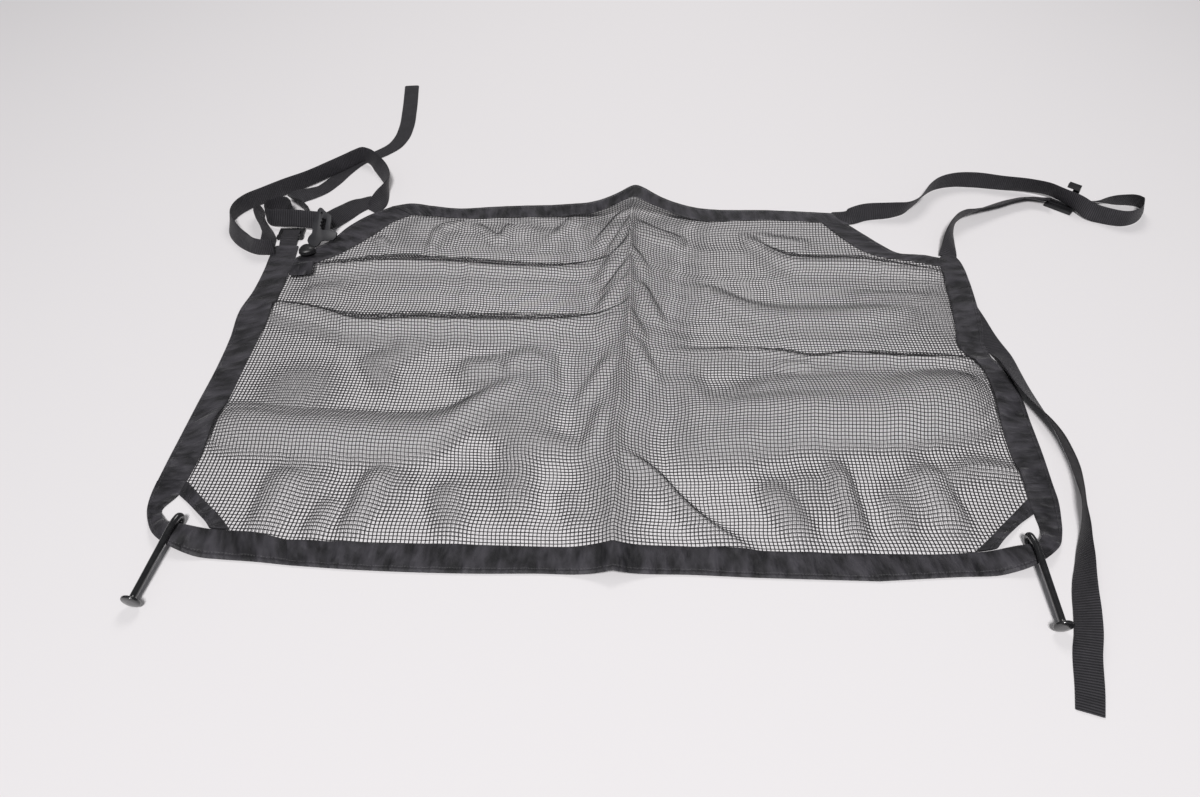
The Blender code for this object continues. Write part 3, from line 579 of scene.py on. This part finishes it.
def mesh_material():
    """Strands of the mesh: matt yarn with a slightly uneven black."""
    made, tree, shader = new_material("mesh_yarn", {"Roughness": 0.72, "Sheen Weight": 0.03})
    patches = noise(tree, 22.0, 3.0)
    yarn = noise(tree, 1500.0, 2.0)
    colour_between(tree, patches, "Fac", shader, (0.007, 0.0065, 0.008), (0.016, 0.015, 0.018))
    relief(tree, yarn, "Fac", shader, 0.5, 0.0003)
    return made


def plastic_material(name, dark, light, rough):
    """Moulded plastic with a fine grain."""
    made, tree, shader = new_material(name, {"Roughness": rough, "Specular IOR Level": 0.45})
    grain = noise(tree, 900.0, 2.0)
    scuffs = noise(tree, 70.0, 4.0)
    colour_between(tree, scuffs, "Fac", shader, dark, light)
    relief(tree, grain, "Fac", shader, 0.35, 0.0002)
    return made


def steel_material():
    """Gloss black coating on the hooks, a little uneven."""
    made, tree, shader = new_material("gloss_coating", {"Specular IOR Level": 0.6, "Coat Weight": 0.6,
                                                        "Coat Roughness": 0.08})
    uneven = noise(tree, 160.0, 3.0)
    rough = node(tree, "ShaderNodeMapRange", {"To Min": 0.16, "To Max": 0.3})
    link(tree, uneven, "Fac", rough, "Value")
    link(tree, rough, "Result", shader, "Roughness")
    colour_between(tree, uneven, "Fac", shader, (0.006, 0.006, 0.007), (0.013, 0.013, 0.014))
    relief(tree, uneven, "Fac", shader, 0.2, 0.0002)
    return made


def floor_material():
    """Plain pale surface."""
    return new_material("pale_floor", {"Base Color": (0.80, 0.785, 0.795, 1.0), "Roughness": 0.75,
                                       "Specular IOR Level": 0.2})[0]


WEBBING = webbing_material()
TAPE = tape_material()
YARN = mesh_material()
PLASTIC = plastic_material("moulded_plastic", (0.009, 0.009, 0.010), (0.018, 0.018, 0.020), 0.4)
GREY_PLASTIC = plastic_material("matt_grey_plastic", (0.016, 0.016, 0.019), (0.030, 0.030, 0.034), 0.5)
STEEL = steel_material()


# ---------------------------------------------------------------- flat tapes

def grid(name, columns, rows):
    """A grid of that many cells, one metre square, alone in the selection."""
    bpy.ops.mesh.primitive_grid_add(x_subdivisions=columns, y_subdivisions=rows, size=1.0)
    made = bpy.context.object
    made.name = name
    made.data.name = name
    return made


def edit_whole():
    """Edit mode with all of the active mesh selected."""
    bpy.ops.object.mode_set(mode="EDIT")
    bpy.ops.mesh.select_all(action="SELECT")


def alone(body):
    """Makes one object the active one and the only one selected."""
    bpy.ops.object.select_all(action="DESELECT")
    body.select_set(True)
    bpy.context.view_layer.objects.active = body


def close_up():
    """Joins the seam of the active mesh, fills its ends and turns its faces outwards."""
    edit_whole()
    bpy.ops.mesh.remove_doubles(threshold=1e-6)
    bpy.ops.mesh.select_all(action="DESELECT")
    bpy.ops.mesh.select_mode(type="EDGE")
    bpy.ops.mesh.select_non_manifold()
    bpy.ops.mesh.fill_holes(sides=0)
    bpy.ops.mesh.select_all(action="SELECT")
    bpy.ops.mesh.normals_make_consistent(inside=False)
    bpy.ops.object.mode_set(mode="OBJECT")


def wrapped(name, rings, marks, width):
    """A closed tape: rings of points round it, marks along it and its width, for the weave."""
    count = len(rings) - 1
    tape = grid(name, count, len(RING) - 1)
    spots = []
    for corner in tape.data.vertices:
        i = round((corner.co.x + 0.5) * count)
        j = round((corner.co.y + 0.5) * (len(RING) - 1))
        spots.append((i, j))
    for corner, (i, j) in zip(tape.data.vertices, spots):
        corner.co = place(*rings[i][j])
    weave = tape.data.uv_layers.active.data
    for loop in tape.data.loops:
        i, j = spots[loop.vertex_index]
        weave[loop.index].uv = (marks[i] * MM, RING[j][0] * width * MM)
    close_up()
    bpy.ops.object.shade_smooth_by_angle(angle=math.radians(50))
    return tape


def wave(marks, lengths, phase):
    """An uneven ripple between -1 and 1, made of three waves of those lengths."""
    marks = np.asarray(marks, float)
    total = sum(np.sin(2 * math.pi * marks / length + phase * (k + WAVE_SHIFT))
                for k, length in enumerate(lengths))
    return total / len(lengths)


def tucked(name, rows):
    rows = list(rows)
    for piece, where, row in TUCKED:
        if piece == name:
            rows.insert(0 if where == "start" else len(rows), row)
    return rows


def border(name, rise=0.0, thick=BAND_THICK, pucker=PUCKER, table=None):
    """A band of folded tape on the folds of the cloth, with puckers across it."""
    fine = smooth_rows(table or BANDS[name], BAND_STEP)
    marks = run_length(fine[:, :2] * 0.5 + fine[:, 2:] * 0.5)
    phase = sum(ord(letter) for letter in name) * NAME_PHASE
    dents = wave(marks, DENT_LENGTHS, phase)
    slants = wave(marks, SLANT_LENGTHS, phase + SLANT_PHASE)
    calm = np.clip(np.minimum(marks, marks[-1] - marks) / CALM_END, 0.0, 1.0)
    outer, inner = fine[:, :2], fine[:, 2:]
    diagonals = inner[1:] - outer[:-1], inner[:-1] - outer[1:]
    (ax, ay), (bx, by) = (line.T for line in diagonals)
    width = float(np.abs(ax * by - ay * bx).sum() / 2 / marks[-1])
    rings = []
    shares = np.array([share for share, level in RING])
    for k, (out_x, out_y, in_x, in_y) in enumerate(fine):
        x = out_x + (in_x - out_x) * shares
        y = out_y + (in_y - out_y) * shares
        under = lift(x, y) + rise
        ring = []
        for (share, level), px, py, low in zip(RING, x, y, under):
            bulge = dents[k] * math.sin(math.pi * share) + slants[k] * math.sin(2 * math.pi * share)
            swell = calm[k] * pucker * bulge
            ring.append((px, py, low + thick * level + max(0.0, level - 0.5) * 2 * swell))
        rings.append(ring)
    tape = wrapped(name + "_cloth", rings, marks, width)
    tape.data.materials.append(TAPE)
    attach(tape, "root")
    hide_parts(*NODES_UNDER.get(name, (name,)))
    return tape


def strap(name):
    """Webbing that lies or stands on the floor along its right-hand edge."""
    rows = smooth_rows(tucked(name, STRAPS[name]), WEB_STEP)
    runs = np.gradient(rows[:, :3], axis=0)
    ends = run_length(rows[:, :3])
    doubled = HEMMED.get(name, 0.0)
    rings, middle = [], []
    for (x, y, z, angle), run, mark in zip(rows, runs, ends):
        ahead = Vector(run).normalized()
        left = Vector((-ahead.y, ahead.x, 0.0)).normalized()
        turn = math.radians(angle)
        wide = left * math.cos(turn) + Vector((0.0, 0.0, math.sin(turn)))
        thick = WEB_THICK * (HEM_THICK if ends[-1] - mark < doubled else 1.0)
        side = ahead.cross(wide).normalized() * thick
        edge = Vector((x, y, z))
        rings.append([edge + wide * (WEB_WIDE * share) + side * (level - 0.5) for share, level in RING])
        middle.append(edge + wide * (WEB_WIDE / 2))
    marks = run_length(middle)
    webbing = wrapped(name + "_web", rings, marks, WEB_WIDE)
    webbing.data.materials.append(WEBBING)
    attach(webbing, "root")
    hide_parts(name)
    return webbing


# ---------------------------------------------------------------- the mesh

# Where the edge of the mesh leaves the border to go along each binding.
LEFT_BINDING_ENDS = [(-383.6, 47.6), (-448.9, 112.2)]
RIGHT_BINDING_ENDS = [(380.8, 19.6), (455.8, 87.2)]


def inner_edge(name, low=-1e9, high=1e9, column=3):
    """Inner edge of a band as a fine line, kept between two bounds of one column."""
    fine = smooth_rows(BANDS[name], EDGE_STEP)
    return [tuple(row[2:]) for row in fine if low < row[column] < high]


def net_outline():
    """The line round the mesh where it goes in under the border."""
    line = [LEFT_BINDING_ENDS[0]] + inner_edge("band_loop_left", -382, 0, 2) + inner_edge("band_front")
    line += inner_edge("band_loop_right", 0, 379, 2) + RIGHT_BINDING_ENDS
    line += inner_edge("band_right", 108, 499) + inner_edge("band_corner_right")[::-1]
    line += inner_edge("band_back", -280, 324, 2)[::-1] + inner_edge("band_corner_left")
    line += inner_edge("band_left", 113, 482)[::-1] + [LEFT_BINDING_ENDS[1]]
    return np.array(line)


def outside_by(line, x, y):
    """Distance of points outside a closed line, below zero inside it."""
    closest = np.full(x.shape, 1e9)
    inside = np.zeros(x.shape, bool)
    for (ax, ay), (bx, by) in zip(line, np.roll(line, -1, axis=0)):
        dx, dy = bx - ax, by - ay
        size = dx * dx + dy * dy
        if size == 0.0:
            continue
        t = np.clip(((x - ax) * dx + (y - ay) * dy) / size, 0.0, 1.0)
        closest = np.minimum(closest, np.hypot(x - ax - t * dx, y - ay - t * dy))
        crosses = (ay > y) != (by > y)
        if dy != 0.0:
            inside ^= crosses & (x < ax + (y - ay) * dx / dy)
    return np.where(inside, -closest, closest)


# The mesh before its edges are drawn out of square, and by how much they are.
NET_LEFT = -445.0
NET_RIGHT = 465.0
NET_NEAR = 32.0
NET_FAR = 618.0
# Columns: y, x of the first column, x of the last column.
SIDE_LINES = [
    (0, -457, 460), (112, -452, 461), (195, -446, 465), (295, -441, 466), (361, -438, 461),
    (420, -435, 466), (500, -431, 474), (560, -428, 478), (640, -424, 482),
]
# Columns: x, y of the first row, y of the last row.
END_LINES = [
    (-470, 50, 632), (-362, 43, 630), (-250, 30, 622), (-60, 25, 616), (160, 20, 610),
    (355, 16, 606), (480, 14, 602),
]


# Slow waves of the columns and the rows. Columns: size, slowness along x, along y.
COLUMN_WAVES = [(1.6, 210, 83), (0.8, -120, 31)]
ROW_WAVES = [(2.2, 118, 160), (0.9, 47, -90)]


def net_point(u, v):
    """Plan position of the mesh at shares of its width and its depth."""
    sides, ends = np.array(SIDE_LINES, float), np.array(END_LINES, float)
    x = NET_LEFT + (NET_RIGHT - NET_LEFT) * u
    y = NET_NEAR + (NET_FAR - NET_NEAR) * v
    near, far = (np.interp(x, ends[:, 0], ends[:, k]) for k in (1, 2))
    y = y + (near - NET_NEAR) * (1 - v) + (far - NET_FAR) * v
    first, last = (np.interp(y, sides[:, 0], sides[:, k]) for k in (1, 2))
    x = x + (first - NET_LEFT) * (1 - u) ** 2 + (last - NET_RIGHT) * u ** 2
    x = x + sum(size * np.sin(x / a + y / b) for size, a, b in COLUMN_WAVES)
    y = y + sum(size * np.sin(x / a + y / b) for size, a, b in ROW_WAVES)
    return x, y


def even_out(x, y):
    """Moves the points of each line along it, so that squares keep their size up a slope."""
    z = lift(x, y)
    new_x, new_y = x.copy(), y.copy()
    for k in range(x.shape[1]):
        points = np.column_stack((x[:, k], y[:, k], z[:, k]))
        marks = run_length(points)
        even = np.linspace(0.0, marks[-1], len(marks))
        new_x[:, k] = np.interp(even, marks, x[:, k])
        new_y[:, k] = np.interp(even, marks, y[:, k])
    return new_x, new_y


def net_plan():
    """Plan positions of every corner of the mesh: columns left to right, rows near to far."""
    shares = ((np.arange(count + 1) - NET_SPARE) / (count - 2 * NET_SPARE)
              for count in (NET_WIDE, NET_DEEP))
    x, y = net_point(*np.meshgrid(*shares, indexing="ij"))
    for _ in range(EVEN_TURNS):
        x, y = (part.T for part in even_out(x.T, y.T))
        x, y = even_out(x, y)
    return x, y


def net_strip(k, plan, outline):
    """One upright strip of the mesh, a few dozen squares wide."""
    first = NET_WIDE * k // NET_STRIPS
    count = NET_WIDE * (k + 1) // NET_STRIPS - first
    net = grid("net_mesh_%d" % (k + 1), count, NET_DEEP)
    ups = np.array([corner.co[:2] for corner in net.data.vertices]) + 0.5
    column = first + np.rint(ups[:, 0] * count).astype(int)
    row = np.rint(ups[:, 1] * NET_DEEP).astype(int)
    x, y = plan[0][column, row], plan[1][column, row]
    z = lift(x, y) + NET_RISE
    for corner, px, py, pz in zip(net.data.vertices, x, y, z):
        corner.co = place(px, py, pz)
    gap = outside_by(outline, x, y)
    bpy.ops.object.mode_set(mode="EDIT")
    bpy.ops.mesh.select_all(action="DESELECT")
    bpy.ops.object.mode_set(mode="OBJECT")
    for face in net.data.polygons:
        face.select = bool(max(gap[i] for i in face.vertices) > UNDER_BAND)
    bpy.ops.object.mode_set(mode="EDIT")
    bpy.ops.mesh.select_mode(type="FACE")
    bpy.ops.mesh.delete(type="FACE")
    bpy.ops.object.mode_set(mode="OBJECT")
    edit_whole()
    bpy.ops.mesh.inset(thickness=STRAND_WIDE / 2 * MM, use_individual=True, use_even_offset=True,
                       use_relative_offset=False)
    bpy.ops.mesh.delete(type="FACE")
    bpy.ops.object.mode_set(mode="OBJECT")
    thick = net.modifiers.new("thick", "SOLIDIFY")
    thick.thickness = STRAND_THICK * MM
    thick.offset = 0.0
    bpy.ops.object.modifier_apply(modifier="thick")
    net.data.materials.append(YARN)
    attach(net, "root")
    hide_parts("net_panel")
    return net


# ---------------------------------------------------------------- the fittings

# Outline of the plate buckle in its own plane. Columns: across, up.
BUCKLE_OUTLINE = [
    (0.4, 0), (4.3, 1.6), (6.3, 4.4), (8.4, 8.7), (13.6, 10.5), (26.3, 12.2), (30.2, 17),
    (30.9, 22.6), (29, 24.6), (20, 26), (20, 45), (17.5, 48), (12.8, 49.8), (8, 52.8),
    (4, 56), (1.6, 56.2), (-1.2, 53), (-2.9, 44.4), (-6.4, 41.4), (-5.6, 28.6), (-5.9, 19.5),
    (-10.4, 12.6), (-11.4, 8), (-9.5, 4), (-6.6, 1.6), (-3, 0.2),
]
# Slot of the plate buckle, whose left-hand side is toothed to grip the strap.
BUCKLE_SLOT = [
    (8, 42.4), (5.6, 40.6), (7, 38.2), (4.6, 35.8), (6.4, 33.4), (4.4, 31), (6.6, 28.6),
    (6, 26.4), (9.6, 25), (13, 25.6), (13, 41),
]
BUCKLE_HOLE = (4.9, 48.6, 1.5)       # middle across, middle up, radius
BUCKLE_FOOT = (-405.0, 540.0, 5.0)
BUCKLE_ACROSS = (0.984, -0.177, 0.0)
BUCKLE_UP = (0.124, 0.688, 0.715)
BUCKLE_THICK = 3.6
SLOT_DEPTHS = (-8.0, 4.0)            # both cutters reach past the two faces
HOLE_DEPTH = 12.0
SLIDER_CORNER = (668.0, 652.0, 0.3)
SLIDER_TURN = math.radians(-41)
LOCK_CORNER = (-464.0, 563.0, 0.3)
KNOB_MIDDLE = (-411.0, 526.0, 9.6)
KNOB_HALF = (11.6, 12.0, 6.6)        # half its width, depth and height
KNOB_LEAN = 0.6
KNOB_TURN = 0.6
KNOB_LOBES = 0.07                    # the rest are shares of those halves
WAIST_DEPTH = 0.08
WAIST_LEVEL = 0.1
WAIST_REACH = 0.16


def finish_fitting(body, node_name, look, bevel, clamped=True):
    """Rounds the edges of a moulded piece and hands it over."""
    alone(body)
    soft = body.modifiers.new("round", "BEVEL")
    soft.width = bevel * MM
    soft.segments = 3
    soft.use_clamp_overlap = clamped
    soft.limit_method = "ANGLE"
    soft.angle_limit = math.radians(35)
    bpy.ops.object.modifier_apply(modifier="round")
    bpy.ops.object.transform_apply(location=True, rotation=True, scale=True)
    bpy.ops.object.shade_smooth_by_angle(angle=math.radians(40))
    body.data.materials.clear()
    body.data.materials.append(look)
    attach(body, "root")
    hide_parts(node_name)


def combine(body, tool, operation):
    """Takes one piece out of another, or joins it to the other."""
    alone(body)
    change = body.modifiers.new("change", "BOOLEAN")
    change.operation = operation
    change.solver = "EXACT"
    change.object = tool
    bpy.ops.object.modifier_apply(modifier="change")
    bpy.data.objects.remove(tool)


def plate(name, outline, low, high):
    """A disc whose rim is drawn out to an outline, then pushed out to a plate."""
    bpy.ops.mesh.primitive_circle_add(vertices=len(outline), radius=0.02, fill_type="NGON")
    made = bpy.context.object
    made.name = name
    for corner, (across, up) in zip(made.data.vertices, outline):
        corner.co = (across * MM, up * MM, low * MM)
    edit_whole()
    bpy.ops.mesh.normals_make_consistent(inside=False)
    bpy.ops.mesh.extrude_region_move(TRANSFORM_OT_translate={"value": (0.0, 0.0, (high - low) * MM)})
    bpy.ops.mesh.select_all(action="SELECT")
    bpy.ops.mesh.normals_make_consistent(inside=False)
    bpy.ops.object.mode_set(mode="OBJECT")
    return made


def plate_buckle():
    """Plate buckle leaning back: toothed slot and a hole at its tip."""
    body = plate("plate_buckle", BUCKLE_OUTLINE, -BUCKLE_THICK, 0.0)
    combine(body, plate("slot", BUCKLE_SLOT, *SLOT_DEPTHS), "DIFFERENCE")
    across, up, radius = (value * MM for value in BUCKLE_HOLE)
    bpy.ops.mesh.primitive_cylinder_add(vertices=20, radius=radius, depth=HOLE_DEPTH * MM,
                                        location=(across, up, 0.0))
    combine(body, bpy.context.object, "DIFFERENCE")
    across, up = Vector(BUCKLE_ACROSS), Vector(BUCKLE_UP)
    out = across.cross(up).normalized()
    foot = place(*BUCKLE_FOOT)
    for corner in body.data.vertices:
        u, v, w = corner.co
        corner.co = foot + across * u + up * v + out * w
    finish_fitting(body, "buckle_left", GREY_PLASTIC, bevel=0.35)
    return body


def bars(name, boxes, spot, turn):
    """Boxes joined to one moulded piece, without the short edges that the joins leave."""
    parts = []
    for low, high in boxes:
        middle = [(a + b) / 2 * MM for a, b in zip(low, high)]
        bpy.ops.mesh.primitive_cube_add(size=1.0, location=middle)
        box = bpy.context.object
        box.scale = [(b - a) * MM for a, b in zip(low, high)]
        bpy.ops.object.transform_apply(location=True, rotation=True, scale=True)
        parts.append(box)
    first = parts[0]
    for other in parts[1:]:
        combine(first, other, "UNION")
    edit_whole()
    bpy.ops.mesh.remove_doubles(threshold=0.02 * MM)
    bpy.ops.mesh.dissolve_limited(angle_limit=math.radians(1))
    bpy.ops.object.mode_set(mode="OBJECT")
    first.name = name
    first.location = place(*spot)
    first.rotation_euler = (0.0, 0.0, turn)
    bpy.ops.object.transform_apply(location=True, rotation=True, scale=True)
    return first


def slider():
    """Three-bar slider with ribbed grips and its upturned far end."""
    boxes = [
        ((0, 0, 0), (40, 4.5, 4.2)), ((0, 9, 0), (40, 13.6, 4.2)), ((0, 17, 0), (40, 21, 4.2)),
        ((0, 0, 0), (3.5, 21, 4.2)), ((36.5, 0, 0), (40, 21, 4.2)),
        ((27.5, 17, 0), (36.5, 21, 35)), ((19, 14, 33), (36.5, 21, 39.5)),
        ((21, 13.5, 34.4), (34.6, 14.2, 38.0)),
    ]
    boxes += [((x, 0.6, 4.0), (x + 1.4, 3.9, 4.6)) for x in (6, 11, 16, 21, 26, 31)]
    body = bars("three_bar_slider", boxes, SLIDER_CORNER, SLIDER_TURN)
    finish_fitting(body, "slider_right", PLASTIC, bevel=0.16, clamped=False)
    return body


def ladder_lock():
    """Ladder lock: two rails, a bar with lugs at the near end and a ribbed bar at the far end."""
    boxes = [
        ((0, 0, 0), (4, 24, 4.3)), ((32, 0, 0), (36, 24, 4.3)),
        ((0, 0, 0), (36, 6, 4.3)), ((0, 17, 0), (36, 24, 4.3)),
        ((1.0, 18.0, 4.0), (35.0, 20.0, 5.2)), ((-1.2, 1.5, 0.6), (0.5, 8.5, 3.6)),
        ((35.5, 1.5, 0.6), (37.2, 8.5, 3.6)),
    ]
    boxes += [((x, 21.0, 4.0), (x + 1.5, 23.2, 4.8)) for x in (5, 11, 17, 23, 29)]
    body = bars("ladder_lock", boxes, LOCK_CORNER, 0.0)
    finish_fitting(body, "lock_left", PLASTIC, bevel=0.2, clamped=False)
    return body


def stopper():
    """Rounded knob with three flat lobes and a waist, on the corner band."""
    bpy.ops.mesh.primitive_uv_sphere_add(segments=28, ring_count=16, radius=1.0)
    body = bpy.context.object
    body.name = "knob"
    for corner in body.data.vertices:
        x, y, z = corner.co
        turn = math.atan2(y, x)
        lobe = KNOB_LOBES * math.cos(3 * turn + KNOB_TURN)
        wide = 1.0 + lobe - WAIST_DEPTH * math.exp(-((z - WAIST_LEVEL) / WAIST_REACH) ** 2)
        out = Vector((x * wide * KNOB_HALF[0], y * wide * KNOB_HALF[1], z * KNOB_HALF[2] - KNOB_LEAN * y))
        corner.co = place(*(Vector(KNOB_MIDDLE) + out))
    finish_fitting(body, "stopper_left", PLASTIC, bevel=0.2)
    return body


def hook(node_name):
    """A bent rod, thicker round its collar, with a flat round head: rings of points round its line."""
    line = smooth_rows([(y, z, x) for x, y, z in HOOKS[node_name]], ROD_STEP)
    centres = [Vector((x, y, z)) for y, z, x in line]
    ahead = (centres[1] - centres[0]).normalized()
    stations = [(centres[0] + ahead * on, radius) for on, radius in HEAD_PROFILE]
    stations += [(spot, ROD_RADIUS) for spot in centres
                 if (spot - centres[0]).dot(ahead) > COLLAR_END or spot.y > centres[0].y + BENT_PART]
    tip = (centres[-1] - centres[-2]).normalized()
    stations += [(centres[-1] + tip * on, radius) for on, radius in TIP_PROFILE]
    count = len(stations) - 1
    body = grid(node_name + "_rod", count, ROD_SIDES)
    for corner in body.data.vertices:
        i = round((corner.co.x + 0.5) * count)
        turn = 2 * math.pi * round((corner.co.y + 0.5) * ROD_SIDES) / ROD_SIDES
        centre, radius = stations[i]
        run = (stations[min(i + 1, count)][0] - stations[max(i - 1, 0)][0]).normalized()
        across = Vector((1.0, 0.0, 0.0))
        across = (across - run * across.dot(run)).normalized()
        spoke = across * math.cos(turn) + run.cross(across) * math.sin(turn)
        corner.co = place(*(centre + spoke * radius))
    close_up()
    finish_fitting(body, node_name, STEEL, bevel=0.15)
    return body


# ---------------------------------------------------------------- the scene

# In metres of the frame.
CAMERA_SPOT = (0.120, -0.540, 0.7676)
CAMERA_TILT = math.radians(45.11)
CAMERA_LENS = 27.45
FLOOR_SIZE = 14.0
FLOOR_MIDDLE = (0.1, 1.0, 0.0)
SKY_COLOUR = (0.95, 0.96, 1.0, 1.0)
SKY_STRENGTH = 0.15
# Columns: place, point aimed at, size, power, colour.
LAMPS = [
    ((0.10, -2.5, 4.2), (0.12, 2.6, 0.0), 1.1, 235.0, (1.0, 0.985, 0.985)),
    ((0.35, 2.1, 2.1), (0.12, 1.1, 0.0), 1.2, 17.0, (1.0, 0.975, 0.96)),
]


def camera():
    """The photo's view: a short lens that looks down across the net from its near side."""
    bpy.ops.object.camera_add(location=CAMERA_SPOT, rotation=(CAMERA_TILT, 0.0, 0.0))
    made = bpy.context.object
    made.data.lens = CAMERA_LENS
    made.data.sensor_width = 36.0
    made.data.clip_start = 0.01
    bpy.context.scene.camera = made


def studio():
    """Plain pale floor, faint sky light and two soft lamps."""
    bpy.ops.mesh.primitive_plane_add(size=FLOOR_SIZE, location=FLOOR_MIDDLE)
    floor = bpy.context.object
    floor.name = "floor"
    floor.data.materials.append(floor_material())
    world = bpy.data.worlds.new("studio")
    bpy.context.scene.world = world
    world.use_nodes = True
    sky = world.node_tree.nodes["Background"]
    sky.inputs["Color"].default_value = SKY_COLOUR
    sky.inputs["Strength"].default_value = SKY_STRENGTH
    bpy.context.scene.view_settings.view_transform = "Standard"
    for spot, aim, size, power, colour in LAMPS:
        bpy.ops.object.light_add(type="AREA", location=spot)
        lamp = bpy.context.object
        lamp.rotation_euler = (Vector(aim) - Vector(spot)).to_track_quat("-Z", "Y").to_euler()
        lamp.data.shape = "DISK"
        lamp.data.size = size
        lamp.data.energy = power
        lamp.data.color = colour


def main():
    camera()
    studio()
    outline = net_outline()
    plan = net_plan()
    for k in range(NET_STRIPS):
        net_strip(k, plan, outline)
    for name in BANDS:
        border(name)
    border("label_tab", LABEL_RISE, LABEL_THICK, LABEL_PUCKER, LABEL)
    for name in STRAPS:
        strap(name)
    slider()
    ladder_lock()
    plate_buckle()
    stopper()
    for name in HOOKS:
        hook(name)


main()
